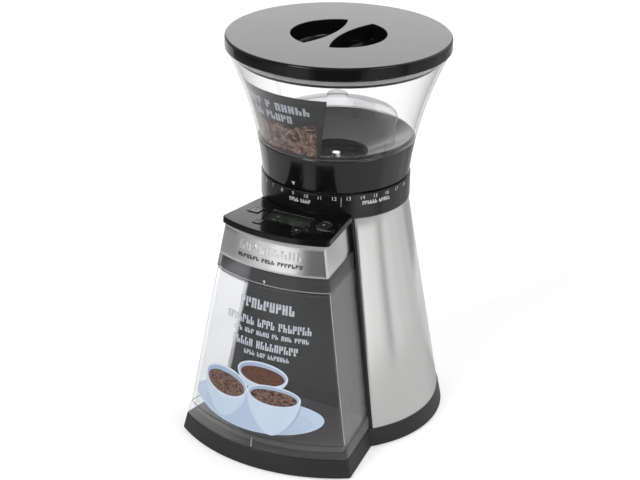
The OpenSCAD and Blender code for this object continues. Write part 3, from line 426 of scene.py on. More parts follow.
def brushed(name, colour, rough, stretch, depth=0.012 * MM, streak=0.06):
    """Metal drawn in one direction, which is the one that stretch leaves long."""
    paint = Paint(name)
    lines = paint.noise(1, 4, stretch)
    patches = paint.noise(14, 3)
    tone = paint.mix(lines * 0.75 + patches * 0.25, shade(colour, 1 - streak), shade(colour, 1 + streak))
    return paint.done(paint.body({
        "Base Color": tone,
        "Metallic": 1.0,
        "Roughness": lines * 0.1 + (patches * 0.04 + (rough - 0.07)),
        "Normal": paint.bump(lines, 0.5, depth),
    }))


def clear(name, tint, haze, colour, rough=0.05, rim=1.0):
    """See-through plastic: it tints what is behind it and shines at grazing angles."""
    paint = Paint(name)
    patches = paint.noise(22, 3)
    flow = paint.noise(6, 2, (1, 1, 3))
    edge = paint.node("ShaderNodeLayerWeight", {"Blend": 0.5}, out="Facing") ** 3.8
    window = paint.node("ShaderNodeBsdfTransparent", {"Color": tint})
    skin = paint.body({
        "Base Color": paint.mix(flow, shade(colour, 0.94), shade(colour, 1.05)),
        "Roughness": patches * 0.03 + rough,
        "Normal": paint.bump(flow, 0.1, 0.4 * MM),
    })
    share = edge * rim * 0.8 + (patches * 0.01 + (haze + 0.008))
    return paint.done(paint.node("ShaderNodeMixShader", {0: share, 1: window, 2: skin}))


def printed(name, colour):
    """Ink laid on a surface, a little worn."""
    paint = Paint(name)
    worn = paint.noise(900, 3)
    return paint.done(paint.body({
        "Base Color": paint.mix(worn, shade(colour, 0.8), shade(colour, 1.1)),
        "Roughness": worn * 0.1 + 0.4,
        "Normal": paint.bump(worn, 0.1, 0.02 * MM),
    }))


def roasted(name, dark, light, scale):
    """Printed coffee beans or grounds: rounded lumps with dark gaps between them."""
    paint = Paint(name)
    cells = paint.node(
        "ShaderNodeTexVoronoi",
        {"Vector": paint.place((1, 1, 1.5)), "Scale": scale, "Randomness": 0.9},
        feature="F1",
    )
    tones = paint.noise(scale * 0.6, 3)
    return paint.done(paint.body({
        "Base Color": paint.mix(cells ** 1.4 * 1.1 + tones * 0.35, light, dark),
        "Roughness": tones * 0.2 + 0.35,
        "Normal": paint.bump(cells, 0.2, 0.2 * MM),
    }))


# How far each way a brushed pattern is stretched: drawn level, drawn upright, or turned on a lathe
FLAT = (10, 10, 3600)
ROUND = (900, 900, 60)
SPUN = (300, 300, 1600)

finishes = {
    "satin_black": moulded("satin_black", grey(0.016, 0.02), 0.46, 0.35),
    "rubber_black": moulded("rubber_black", grey(0.02), 0.75, 0.5, specks=700),
    "screw_steel": brushed("screw_steel", grey(0.6), 0.3, SPUN),
    "brushed_cone": brushed("brushed_cone", grey(0.74, 0.006), 0.2, FLAT, 0.008 * MM, 0.04),
    "brushed_fascia": brushed("brushed_fascia", grey(0.72, 0.004), 0.2, FLAT, 0.008 * MM, 0.04),
    "channel_black": moulded("channel_black", grey(0.008), 0.4),
    "panel_gloss": moulded("panel_gloss", grey(0.004), 0.08, 0.03, shine=0.22),
    "display_lens": clear("display_lens", (0.75, 0.8, 0.74, 1), 0.05, grey(0.1), 0.04),
    "display_green": moulded("display_green", (0.02, 0.023, 0.02, 1), 0.3, 0.1),
    "board_green": moulded("board_green", (0.03, 0.17, 0.07, 1), 0.35, 0.3),
    "key_black": moulded("key_black", grey(0.02), 0.25, 0.15),
    "dial_black": moulded("dial_black", grey(0.006), 0.2, 0.08),
    "nylon_grey": moulded("nylon_grey", grey(0.42), 0.45),
    "tray_grey": moulded("tray_grey", grey(0.06), 0.42),
    "shaft_steel": brushed("shaft_steel", grey(0.6), 0.24, SPUN),
    "gear_nylon": moulded("gear_nylon", (0.74, 0.7, 0.58, 1), 0.4),
    "burr_steel": brushed("burr_steel", grey(0.55), 0.3, ROUND),
    "pinion_brass": brushed("pinion_brass", (0.78, 0.6, 0.26, 1), 0.26, ROUND),
    "stack_steel": brushed("stack_steel", grey(0.32), 0.45, (20, 20, 2600), 0.05 * MM),
    "copper": brushed("copper", (0.78, 0.36, 0.18, 1), 0.3, (700, 700, 90), 0.05 * MM),
    "motor_zinc": brushed("motor_zinc", grey(0.5), 0.38, FLAT),
    "magnet_grey": moulded("magnet_grey", grey(0.1), 0.6, 0.6),
    "part_blue": moulded("part_blue", (0.04, 0.08, 0.22, 1), 0.35),
    "chamber_clear": clear("chamber_clear", (0.98, 0.982, 0.988, 1), 0.02, grey(0.7)),
    "chamber_smoke": clear("chamber_smoke", (0.66, 0.66, 0.68, 1), 0.26, grey(0.18)),
    "hopper_clear": clear("hopper_clear", (0.985, 0.985, 0.988, 1), 0.004, grey(0.8)),
    "skirt_gloss": moulded("skirt_gloss", grey(0.006), 0.12, 0.05, shine=0.6),
    "lid_gloss": moulded("lid_gloss", grey(0.005), 0.13, 0.05, shine=0.24),
    "seal_soft": moulded("seal_soft", grey(0.62), 0.5),
}

# Finishes of details that share their neighbour's slot
# Painted shade and painted highlight: a dark haze and a pale haze for thin strips on the chamber, standing in
# for the dark and bright lines that its clear corners and lips show by refraction
painted_edge_shade = clear("painted_edge_shade", (0.55, 0.55, 0.56, 1), 0.5, grey(0.04))
painted_edge_highlight = clear("painted_edge_highlight", (0.97, 0.97, 0.98, 1), 0.6, grey(0.8))
raised_steel = brushed("raised_steel", grey(0.9), 0.34, FLAT)
# Painted reflection: a pale haze for a sheet laid over the hopper's floor, lightening it as the white
# surroundings seen in the clear floor would
floor_sheen_haze = clear("floor_sheen_haze", (0.92, 0.92, 0.93, 1), 0.4, grey(0.66))
guard_clear = clear("guard_clear", (0.86, 0.865, 0.87, 1), 0.05, grey(0.55), rim=1.2)
white_ink = printed("white_ink", grey(0.75))
pale_ink = printed("pale_ink", (0.56, 0.6, 0.66, 1))
dim_ink = printed("dim_ink", grey(0.3))
dark_ink = printed("dark_ink", grey(0.03))
lit_figures = printed("lit_figures", (0.42, 0.5, 0.4, 1))
film_dark = moulded("film_dark", grey(0.03), 0.35, 0.05)
china = moulded("china", (0.56, 0.67, 0.83, 1), 0.35, 0.05)
china_light = moulded("china_light", (0.72, 0.8, 0.92, 1), 0.3, 0.05)
china_pale = moulded("china_pale", (0.62, 0.72, 0.87, 1), 0.35, 0.05)
china_deep = moulded("china_deep", (0.5, 0.61, 0.79, 1), 0.35, 0.05)
china_shade = moulded("china_shade", (0.4, 0.5, 0.69, 1), 0.35, 0.05)
bean_print = roasted("bean_print", (0.05, 0.02, 0.014, 1), (0.36, 0.23, 0.17, 1), 190)
bean_crease = printed("bean_crease", (0.5, 0.36, 0.29, 1))
grounds_print = roasted("grounds_print", (0.05, 0.018, 0.012, 1), (0.22, 0.09, 0.06, 1), 900)
lumps_print = roasted("lumps_print", (0.03, 0.012, 0.01, 1), (0.34, 0.2, 0.15, 1), 420)

# ---- Pieces of the grinder ----------------------------------------------------------------------


def piece(name, bm, body, slot, nodes=(), finish=None, crease=35, thickness=0.0, weld=0.002):
    """Makes a working mesh into a piece of the grinder, in place in the row frame."""
    bmesh.ops.remove_doubles(bm, verts=bm.verts, dist=weld)
    bmesh.ops.recalc_face_normals(bm, faces=bm.faces)
    order = bm.verts.layers.int.get("order")
    if order:
        bm.verts.layers.int.remove(order)
    bm.transform(TO_ROW)
    mesh = bpy.data.meshes.new(name)
    bm.to_mesh(mesh)
    bm.free()
    mesh.shade_smooth()
    mesh.set_sharp_from_angle(angle=math.radians(crease))
    obj = bpy.data.objects.new(name, mesh)
    scene.collection.objects.link(obj)
    mesh.materials.append(finish or finishes[slot])
    if thickness:
        shell = obj.modifiers.new("thickness", "SOLIDIFY")
        shell.thickness = thickness * MM
        shell.offset = -1
    obj.modifiers.new("shading", "WEIGHTED_NORMAL").keep_sharp = True
    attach(obj, body)
    if nodes:
        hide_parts(*nodes)
    return obj


def circle_at(i, level):
    """A ring's point on a circle, for levels of (radius, height)."""
    r, z = level
    return polar(r, 2 * math.pi * i / RING, z)


RING = 144

# Lid: a shallow cap with two almond-shaped finger recesses and a bar between them
GRIP_R = 36.3
GRIP_SIDE_R = 87.0
GRIP_WAIST = 7.0
PLUG_R = hopper_r(LID_PLUG_FOOT + 0.3) - HOPPER_WALL - 1.2


def almond(side):
    """A place function for one finger recess, with levels of (growth, height)."""
    centre = side * (GRIP_WAIST / 2 + GRIP_SIDE_R)

    def outline(level):
        grown, z = level
        outer, inner = GRIP_R + grown, GRIP_SIDE_R + grown
        x = (outer * outer - inner * inner + centre * centre) / (2 * centre)
        tip = math.atan2(math.sqrt(outer * outer - x * x), x * side)
        near = math.atan2(math.sqrt(outer * outer - x * x), (centre - x) * side)
        points = []
        for i in range(28):
            angle = tip * (1 - i / 14)
            points.append((side * outer * math.cos(angle), outer * math.sin(angle)))
        for i in range(28):
            angle = -near * (1 - i / 14)
            points.append((centre - side * inner * math.cos(angle), inner * math.sin(angle)))
        return points, z

    return placer(outline)


RIM_ROUND = [(0.0, 0.0), (-0.9, -0.12), (-1.6, -0.5), (-2.1, -1.1), (-2.3, -2.0)]
lid_levels = [(LID_R - 2.3 - dr, LID_TOP + dz) for dr, dz in RIM_ROUND]
lid_levels += [(LID_R, LID_FOOT + 0.6), (LID_R - 0.6, LID_FOOT)]


def lid_edge(i, level):
    """The lid's outline. Its level is the step down its side."""
    return circle_at(i, lid_levels[level])


def recess_edge(side):
    """One recess's outline, for the same steps: rounded over, straight down, then in to its floor."""
    almond_at = almond(side)
    steps = [(0.5, 0.0), (0.2, -0.08), (0.0, -0.5), (-0.5, -6.0), (-1.0, -10.5), (-1.6, -12.2), (-3.0, -13.0)]
    return lambda i, level: almond_at(i, (steps[level][0], LID_TOP + steps[level][1]))


lid_shell = bmesh.new()
lid_holes = [(56, recess_edge(-1)), (56, recess_edge(1))]
lid_rings = [ring(lid_shell, count, place, 0) for count, place in [(RING, lid_edge), *lid_holes]]
fill_between(lid_shell, lid_rings)
grow(lid_shell, lid_rings[0], lid_edge, [1, 2, 3, 4, 5, 6])
for loop, (count, place) in zip(lid_rings[1:], lid_holes):
    bmesh.ops.edgeloop_fill(lid_shell, edges=grow(lid_shell, loop, place, [1, 2, 3, 4, 5, 6]))
piece("lid_cap", lid_shell, "hopper_lid", "lid_gloss", ["lid"], thickness=2.3, crease=50)
seal_low, seal_high = box_mm("lid_seal")
piece(
    "lid_plug",
    lathe([
        (PLUG_R - 2, LID_PLUG_FOOT),
        (PLUG_R - 0.4, LID_PLUG_FOOT),
        (PLUG_R, LID_PLUG_FOOT + 0.6),
        (PLUG_R, seal_low.z - 0.1),
        (PLUG_R - 0.8, seal_low.z - 0.1),
        (PLUG_R - 0.8, seal_high.z + 0.1),
        (PLUG_R, seal_high.z + 0.1),
        (PLUG_R, LID_TOP - 2.5),
        (PLUG_R - 2, LID_TOP - 2.5),
    ]),
    "hopper_lid",
    "lid_gloss",
)
lid_dot = disc(lambda x, y: Vector((0.9 * x, 0.9 * y, LID_TOP + 0.04)), 20, 2)
piece("lid_dot", lid_dot, "hopper_lid", "lid_gloss", finish=dim_ink)

# Hopper: the clear bowl, its finger guard, and the black skirt that turns it
SPIGOT_FOOT = SKIRT_TOP - 7.4
THROAT_TOP = HOPPER_FOOT + 12.7
THROAT_FOOT = HOPPER_FOOT + 2.7


def floor_z(r):
    """Height of the hopper's sloped floor at a radius."""
    return THROAT_TOP + 0.5 * (r - THROAT_R)


spigot_r = hopper_r(SPIGOT_FOOT) - 2.1
outer_heights = [HOPPER_MOUTH - (HOPPER_MOUTH - SKIRT_TOP - 0.1) * (i / 26) for i in range(27)]
bowl = [(hopper_r(z) - 0.25 * (z > HOPPER_MOUTH - 0.3), z) for z in outer_heights]
bowl += [
    (hopper_r(SKIRT_TOP) - 2.1, SKIRT_TOP + 0.1),
    (spigot_r, SPIGOT_FOOT),
    (spigot_r - HOPPER_WALL, SPIGOT_FOOT),
    (spigot_r - HOPPER_WALL - 0.3, floor_z(spigot_r) - 4.0),
    (THROAT_R + 2.2, floor_z(THROAT_R) - 1.6),
    (THROAT_R + 2.2, THROAT_FOOT),
    (THROAT_R, THROAT_FOOT),
    (THROAT_R, THROAT_TOP - 0.4),
    (THROAT_R + 0.6, THROAT_TOP + 0.2),
]
inner_foot = SKIRT_TOP + 4.5
floor_r = hopper_r(inner_foot) - HOPPER_WALL - 2.2
bowl += [
    (floor_r - 1.5, floor_z(floor_r - 1.5)),
    (floor_r, floor_z(floor_r) + 0.25),
    (floor_r + 1.3, inner_foot - 1.0),
]
inner_heights = [inner_foot + (HOPPER_MOUTH - inner_foot) * (i / 24) for i in range(25)]
bowl += [(hopper_r(z) - HOPPER_WALL + 0.25 * (z > HOPPER_MOUTH - 0.3), z) for z in inner_heights]
piece("hopper_bowl", lathe(bowl), "bean_hopper", "hopper_clear", ["hopper"], crease=40)

guard_foot = floor_z(GUARD_R) + 0.1
BRIM = SKIRT_TOP + 16.5
guard = [
    (GUARD_R, BRIM - 4),
    (GUARD_R, BRIM - 1.6),
    (GUARD_R - 0.5, BRIM - 0.6),
    (GUARD_R - 1.4, BRIM),
    (GUARD_R - 2.8, BRIM + 0.45),
    (9.6, BRIM + 11.2),
    (8.5, BRIM + 11.8),
    (8.0, BRIM + 12.8),
    (8.0, GUARD_TOP - 1.2),
    (7.7, GUARD_TOP - 0.4),
    (6.9, GUARD_TOP),
    (0.0, GUARD_TOP),
]
post_line = [(GUARD_R, guard_foot), (GUARD_R, BRIM - 4)]
posts = [lathe(post_line, 10, turn * 90 - 12.3, 24.6, False) for turn in range(4)]
piece(
    "guard_cone",
    joined([lathe(guard, shut=False), *posts]),
    "bean_hopper",
    "hopper_clear",
    ["finger_guard"],
    finish=guard_clear,
    crease=40,
)

# The painted sheen over the floor, and the film: the film stops short of the bowl's foot and widens towards
# its top
FILM_FOOT = 230.8
FILM_TALL = 49.0
FILM_LEFT = -58.0
FILM_RIGHT = 16.0
FILM_LEFT_FLARE = 2.0
FILM_RIGHT_FLARE = 6.0
FILM_DEPTH = 0.6
FILM_LINE_DEPTH = 0.35
BEAN_DEPTH = 0.38
# A pale hazy sheet just over the hopper's sloped floor: a painted reflection of the white surroundings that
# the clear floor shows
floor_line = [(THROAT_R + 0.7, floor_z(THROAT_R + 0.7) + 0.06), (floor_r - 0.3, floor_z(floor_r - 0.3) + 0.1)]
piece("hopper_floor_sheen", lathe(floor_line, shut=False), "bean_hopper", "hopper_clear", finish=floor_sheen_haze)


def hopper_wall_at(z, depth):
    """Radius of the hopper's inner wall at a height, less a depth."""
    return hopper_r(z) - HOPPER_WALL - depth


def film_spot(u, v):
    """A point of the hopper's printed film, from its left edge to its right one and from its foot up."""
    angle = (FILM_LEFT - FILM_LEFT_FLARE * v) * (1 - u) + (FILM_RIGHT + FILM_RIGHT_FLARE * v) * u
    z = FILM_FOOT + FILM_TALL * v
    return polar(hopper_wall_at(z, FILM_DEPTH), math.radians(angle), z)


rib_heights = (233, 245, 257, 269, 281, 292)
rib = [(hopper_wall_at(z, 0.9), z) for z in rib_heights]
rib += [(hopper_wall_at(z, 0.0), z) for z in reversed(rib_heights)]
ribs = [lathe(rib, 2, start, 0.5) for start in (-7.1, -5.7)]
piece("hopper_rib", joined(ribs), "bean_hopper", "hopper_clear")
piece("hopper_film", sheet(40, 12, film_spot), "bean_hopper", "hopper_clear", finish=film_dark, thickness=0.1)


def stroke_line(first, last, z, height, words, wall):
    """Stands for a line of lettering: groups of plain strokes that spell nothing."""
    pick = random.Random(round(10 * z))
    cell = (last - first) / (sum(words) + 0.7 * (len(words) - 1))
    stem = 0.33 * cell
    strokes = []

    def stroke(x0, x1, low, high):
        foot = z + height * (low - 0.5)
        strokes.append(sheet(2, 1, lambda u, v: wall(x0 + (x1 - x0) * u, foot + height * (high - low) * v)))

    at = first
    for word in words:
        for _ in range(word):
            right = at + 0.8 * cell
            stroke(at, at + stem, 0, 1)
            stroke(right - stem, right, *pick.choice(((0, 1), (0.45, 1), (0, 0.55))))
            low = pick.choice((0, 0.42, 0.8))
            stroke(at + stem, right - stem, low, low + 0.2)
            at += cell
        at += 0.7 * cell
    return strokes


def on_film(angle, z):
    return polar(hopper_wall_at(z, FILM_LINE_DEPTH), math.radians(angle), z)


lines = stroke_line(-50, 12, 268.5, 6.6, (5, 1, 5), on_film)
lines += stroke_line(-36, -1, 259.5, 6.2, (2, 5), on_film)
piece("film_lines", joined(lines), "bean_hopper", "hopper_clear", finish=pale_ink)
chance = random.Random(7)
BEAN_ROWS = 5
BEANS_IN_ROW = 9
BEAN_LONG = 5.6
BEAN_WIDE = 4.0
bean_parts = []
crease_parts = []
for row in range(BEAN_ROWS):
    for step in range(BEANS_IN_ROW):
        u = (step + 0.5 + chance.uniform(-0.3, 0.3)) / BEANS_IN_ROW
        v = 0.06 + row * 0.105 + chance.uniform(-0.03, 0.03)
        if row == BEAN_ROWS - 1 and 2 < step < 8:
            continue
        lean = chance.uniform(0, math.pi)
        depth = BEAN_DEPTH - 0.005 * len(bean_parts)
        middle = math.radians(FILM_LEFT + (FILM_RIGHT - FILM_LEFT) * u)
        height = FILM_FOOT + FILM_TALL * v

        def bean(x, y, size=1.0, thin=1.0, out=0.0):
            """A point of a printed bean, kept inside the film's edges."""
            along = size * BEAN_LONG * x
            aside = size * BEAN_WIDE * thin * y
            z = max(FILM_FOOT + 0.2, height + along * math.sin(lean) + aside * math.cos(lean))
            turned = middle + (along * math.cos(lean) - aside * math.sin(lean)) / 60
            most = FILM_RIGHT + FILM_RIGHT_FLARE * (z - FILM_FOOT) / FILM_TALL - 0.4
            turned = min(math.radians(most), max(math.radians(FILM_LEFT + 0.4), turned))
            return polar(hopper_wall_at(z, depth - out), turned, z)

        bean_parts.append(disc(bean, 24, 3))
        crease_parts.append(disc(lambda x, y: bean(x, y + 0.25 * x * x, 0.8, 0.13, 0.002), 14, 2))
piece("film_beans", joined(bean_parts), "bean_hopper", "hopper_clear", finish=bean_print)
piece("film_creases", joined(crease_parts), "bean_hopper", "hopper_clear", finish=bean_crease)

SKIRT_WALL = 2.0
FLANGE_R = 46.0
SKIRT_ROUND = [(0.32, 0.75), (0.75, 0.3), (1.25, 0.05), (1.9, 0.0)]
skirt_rise = [HOPPER_FOOT + 0.6 + (SKIRT_TOP - 1.7 - HOPPER_FOOT) * i / 8 for i in range(9)]
skirt = [(FLANGE_R, HOPPER_FOOT), (hopper_r(HOPPER_FOOT) - 0.6, HOPPER_FOOT)]
skirt += [(hopper_r(z), z) for z in skirt_rise]
skirt += [(hopper_r(SKIRT_TOP) - inward, SKIRT_TOP - down) for inward, down in SKIRT_ROUND]
skirt += [
    (hopper_r(SPIGOT_FOOT) - SKIRT_WALL, SPIGOT_FOOT),
    (hopper_r(HOPPER_FOOT + 3) - SKIRT_WALL, HOPPER_FOOT + 3),
    (hopper_r(HOPPER_FOOT + 2.2) - 3, HOPPER_FOOT + 2.2),
    (FLANGE_R, HOPPER_FOOT + 2.2),
]
tab_low = box_mm("hopper_skirt")[0].z
tab = [
    (FLANGE_R + 0.2, tab_low),
    (FLANGE_R + 3.2, tab_low),
    (FLANGE_R + 3.2, HOPPER_FOOT + 0.5),
    (FLANGE_R + 0.2, HOPPER_FOOT + 0.5),
]
tabs = [lathe(tab, 4, angle - 4.5, 9.0) for angle in (60, 180, 300)]
piece("skirt_ring", joined([lathe(skirt), *tabs]), "bean_hopper", "skirt_gloss", ["hopper_skirt"], crease=40)


def on_dial(x, z, out):
    """A point on the dial's face, from a distance round it."""
    return polar(DIAL_R + out, x / DIAL_R, z)


POINTER_SIZE = 1.8
POINTER_Z = 207.0


def pointer_at(i, level):
    """The white pointer on the skirt, a triangle with its tip down."""
    size, out = level
    angle = 2 * math.pi * i / 3 - math.pi / 2
    z = POINTER_Z + POINTER_SIZE * size * math.sin(angle)
    turned = setting_angle(SETTING_NOW) + POINTER_SIZE * size * math.cos(angle) / 57.0
    return polar(hopper_r(z) + out, turned, z)


pointer = tower(3, pointer_at, [(1, 0.02), (1, 0.1)])
piece("setting_pointer", pointer, "bean_hopper", "skirt_gloss", finish=white_ink)

# Dial: a black ring round the foot of the hopper, with its settings printed on it
dial_in = DIAL_R - 2.6
piece(
    "dial_band",
    lathe([
        (dial_in - 4.75, DECK + 0.15),
        (DIAL_R - 0.5, DECK + 0.15),
        (DIAL_R, DECK + 0.7),
        (DIAL_R, DIAL_HIGH.z - 1.0),
        (DIAL_R - 0.35, DIAL_HIGH.z - 0.3),
        (DIAL_R - 1.0, DIAL_HIGH.z),
        (dial_in, DIAL_HIGH.z),
        (dial_in, DECK + 2.0),
        (dial_in - 4.75, DECK + 2.0),
    ]),
    "stand",
    "dial_black",
    ["dial_ring"],
)


def lettering(words, height, bend):
    """A number as a working mesh, its middle at the origin, each point put in place by bend(x, y)."""
    curve = bpy.data.curves.new("number", "FONT")
    curve.body = words
    curve.size = height / 0.72
    curve.align_x = "CENTER"
    curve.align_y = "CENTER"
    curve.resolution_u = 4
    holder = bpy.data.objects.new("number", curve)
    scene.collection.objects.link(holder)
    bpy.context.view_layer.update()
    mesh = bpy.data.meshes.new_from_object(holder.evaluated_get(bpy.context.evaluated_depsgraph_get()))
    bm = bmesh.new()
    bm.from_mesh(mesh)
    bpy.data.objects.remove(holder)
    bpy.data.curves.remove(curve)
    bpy.data.meshes.remove(mesh)
    for vert in bm.verts:
        vert.co = bend(vert.co.x, vert.co.y)
    return bm


def dial_print(middle, z=0.0):
    return lambda x, y: on_dial(middle + x, z + y, 0.06)


def dial_bar(x0, x1, z0, z1):
    """A printed bar on the dial."""
    return sheet(8, 1, lambda u, v: on_dial(x0 + (x1 - x0) * u, z0 + (z1 - z0) * v, 0.06))


NUMBER_Z = 198.4
WORD_Z = 194.2
DIVIDER_SPAN = (192.0, 199.6)
marks = []
for n in range(1, SETTINGS + 1):
    marks.append(lettering(str(n), 3.0, dial_print(setting_angle(n) * DIAL_R, NUMBER_Z)))
divider = setting_angle(12.5) * DIAL_R
marks.append(dial_bar(divider - 0.15, divider + 0.15, *DIVIDER_SPAN))
marks.append(dial_bar(math.radians(-86) * DIAL_R, math.radians(-84.8) * DIAL_R, *DIVIDER_SPAN))
for first, last, words in ((-8.5, 9.5, (4, 4)), (48.5, 73.0, (6, 5))):
    x0 = math.radians(first) * DIAL_R
    x1 = math.radians(last) * DIAL_R
    marks += stroke_line(x0, x1, WORD_Z, 3.0, words, dial_print(0.0))
piece("dial_numbers", joined(marks), "stand", "dial_black", finish=white_ink)

# Steel cone: a sheet rolled round the back and sides, open for the front block


def cone_edge(z):
    """Angle from the front, in radians, where the cone's sheet starts beside the front block."""
    angle = 0.8
    for _ in range(30):
        forward = cone_r(z) * math.cos(angle)
        angle = math.asin((SIDE_AT_AXIS + CHANNEL + SPLAY * forward - LEAN * z) / cone_r(z))
    return angle


def cone_spot(u, v):
    z = PLINTH_TOP + 0.02 + (DECK - PLINTH_TOP - 0.04) * v
    start = cone_edge(z)
    return polar(cone_r(z), start + (2 * math.pi - 2 * start) * u, z)


piece("cone_sheet", sheet(120, 16, cone_spot), "stand", "brushed_cone", ["steel_cone"], thickness=SHEET)

# Fascia: the steel band round the head, under the control panel
FASCIA_TOP = box_mm("fascia")[1].z
FASCIA_CORNER = 3.8
FASCIA_BACK = 44.0
FASCIA_SIDE_INSET = 1.4
FASCIA_FRONT_INSET = 0.4


def fascia_outline(z):
    """The band's outline at a height. Its sides are set in further than its front."""
    return block_outline(FASCIA_SIDE_INSET, z, FASCIA_CORNER, FASCIA_BACK, FASCIA_FRONT_INSET), z


FASCIA_COUNT = len(fascia_outline(FASCIA_FOOT)[0])
fascia_at = placer(fascia_outline)


def fascia_spot(u, v):
    return fascia_at(round(u * (FASCIA_COUNT - 1)), FASCIA_FOOT + (FASCIA_TOP - FASCIA_FOOT) * v)


fascia_band = sheet(FASCIA_COUNT - 1, 6, fascia_spot)
piece("fascia_band", fascia_band, "stand", "brushed_fascia", ["fascia"], thickness=SHEET)


def on_fascia(x, z):
    """A point just in front of the band's round front."""
    front = REACH - RECLINE * z - FASCIA_FRONT_INSET + 0.08
    return Vector((x, -math.sqrt(front * front - x * x), z))


plate_line = stroke_line(-25.5, 29, FASCIA_FOOT + 7.0, 3.0, (7, 4, 7), on_fascia)
piece("fascia_line", joined(plate_line), "stand", "brushed_fascia", finish=dark_ink)
badge = stroke_line(-25, 29, FASCIA_FOOT + 14.5, 6.0, (9,), on_fascia)
piece("fascia_badge", joined(badge), "stand", "brushed_fascia", finish=raised_steel, thickness=0.25)

# Control panel: a glossy black plate with holes for four keys and the display
DIAL_GAP_R = DIAL_R + 0.6
PANEL_BACK_STEPS = 24


def panel_outline(level):
    """The panel's outline: round the front like the block, and hollowed at the back by the dial."""
    inset, z = level
    side = SIDE_AT_AXIS - LEAN * PANEL_FOOT + PANEL_OVERHANG - inset * math.hypot(1, SPLAY)
    round_r = DIAL_GAP_R + inset
    tip_f = meeting(side, round_r)
    points = wedge(side, PANEL_FRONT_R - inset, 4.0 - inset, tip_f)
    turn = math.atan2(side + SPLAY * tip_f, tip_f)
    for i in range(1, PANEL_BACK_STEPS):
        angle = turn * (1 - 2 * i / PANEL_BACK_STEPS)
        points.append((round_r * math.sin(angle), -round_r * math.cos(angle)))
    return points, z


PANEL_COUNT = len(panel_outline((0.0, 0.0))[0])
panel_at = placer(panel_outline)
PANEL_THICK = PANEL_TOP - PANEL_FOOT
PANEL_STEPS = [(0.9, 0.0), (0.3, -0.25), (0.0, -0.9), (0.0, 0.3 - PANEL_THICK), (0.3, -PANEL_THICK)]
HOLE_STEPS = [(0.2, 0.0), (0.0, -0.2), (0.0, -1.5), (0.0, 0.3 - PANEL_THICK), (0.0, -PANEL_THICK)]


def stepped(place, steps):
    """A place function whose level is the number of a step, each a (growth, drop below the panel's top)."""
    return lambda i, level: place(i, (steps[level][0], PANEL_TOP + steps[level][1]))


def middle_of(node):
    """The middle of a CAD node about the burr axis, and the height of its top."""
    low, high = box_mm(node)
    return (low.x + high.x) / 2 - AXIS_X, (low.y + high.y) / 2 - AXIS_Y, high.z


keys = {
    "key_left_rear": (5.0, 1.6),
    "key_right_rear": (5.0, 1.6),
    "key_left_front": (3.5, 1.4),
    "key_right_front": (3.5, 1.4),
}
panel_holes = []
for name, (half, corner) in keys.items():
    x, y, top = middle_of(name)
    count, place = rounded_box(x, y, half + 0.4, half + 0.4, corner + 0.4)
    panel_holes.append((count, stepped(place, HOLE_STEPS)))
lens_low, lens_high = box_mm("display_lens")
lens_x, lens_y, _ = middle_of("display_lens")
lens_w, lens_d = (lens_high.x - lens_low.x) / 2, (lens_high.y - lens_low.y) / 2
count, place = rounded_box(lens_x, lens_y, lens_w + 0.15, lens_d + 0.15, 0.6)
panel_holes.append((count, stepped(place, HOLE_STEPS)))
piece(
    "panel_plate",
    pierced((PANEL_COUNT, stepped(panel_at, PANEL_STEPS)), panel_holes, [0, 1, 2, 3, 4]),
    "stand",
    "panel_gloss",
    ["control_panel"],
)
for number, (name, (half, corner)) in enumerate(keys.items(), 1):
    x, y, top = middle_of(name)
    low = box_mm(name)[0].z
    count, place = rounded_box(x, y, half, half, corner)
    stem = rounded_box(x, y, 1.6, 1.6, 1.5)[1]
    cap = [
        (0.8, PANEL_FOOT - 1.3),
        (0.8, PANEL_FOOT - 0.1),
        (0.0, PANEL_FOOT - 0.1),
        (0.0, top - 0.5),
        (-0.15, top - 0.15),
        (-0.5, top),
        (-1.6, top - 0.12),
        (-half * 0.6, top - 0.3),
    ]
    key = joined([tower(count, place, cap), tower(20, stem, [(0.0, low), (0.0, PANEL_FOOT - 1.2)])])
    piece(name + "_cap", key, f"key_{number}", "key_black", [name])
    sign = disc(lambda u, v: Vector((x + u, y + v, top + 0.02)), 20, 2)
    piece(name + "_sign", sign, f"key_{number}", "key_black", finish=dim_ink)


def ink_bar(x0, x1, y0, y1, z):
    """A printed bar lying flat."""
    return sheet(4, 1, lambda u, v: Vector((x0 + (x1 - x0) * u, y0 + (y1 - y0) * v, z)))


over = PANEL_TOP + 0.03
panel_marks = [ink_bar(-17, 17, -65.1, -64.8, over), ink_bar(-17.2, -16.9, -66.6, -63.6, over)]
MARK_PLACES = [
    (25, 33, -66.0),
    (25, 30, -64.5),
    (-33, -25, -66.2),
    (-33, -27, -78.6),
    (26, 38, -78.4),
    (28, 36, -80.1),
]
for x0, x1, y in MARK_PLACES:
    panel_marks.append(ink_bar(x0, x1, y - 0.25, y + 0.25, over))
piece("panel_marks", joined(panel_marks), "stand", "panel_gloss", finish=dim_ink)


def rounded_block(name, node, body, slot, corner=0.6, round_by=0.4):
    """A plain block standing for a CAD node, with its edges rounded."""
    low, high = box_mm(node)
    x, y, top = middle_of(node)
    half_w, half_d = (high.x - low.x) / 2, (high.y - low.y) / 2
    count, place = rounded_box(x, y, half_w, half_d, corner)
    levels = [(-round_by, low.z), (0.0, low.z + round_by), (0.0, top - round_by), (-round_by, top)]
    return piece(name, tower(count, place, levels), body, slot, [node])


rounded_block("display_window", "display_lens", "stand", "display_lens", round_by=0.2)
glass_top = box_mm("display_module")[1].z + 0.04
segments = []


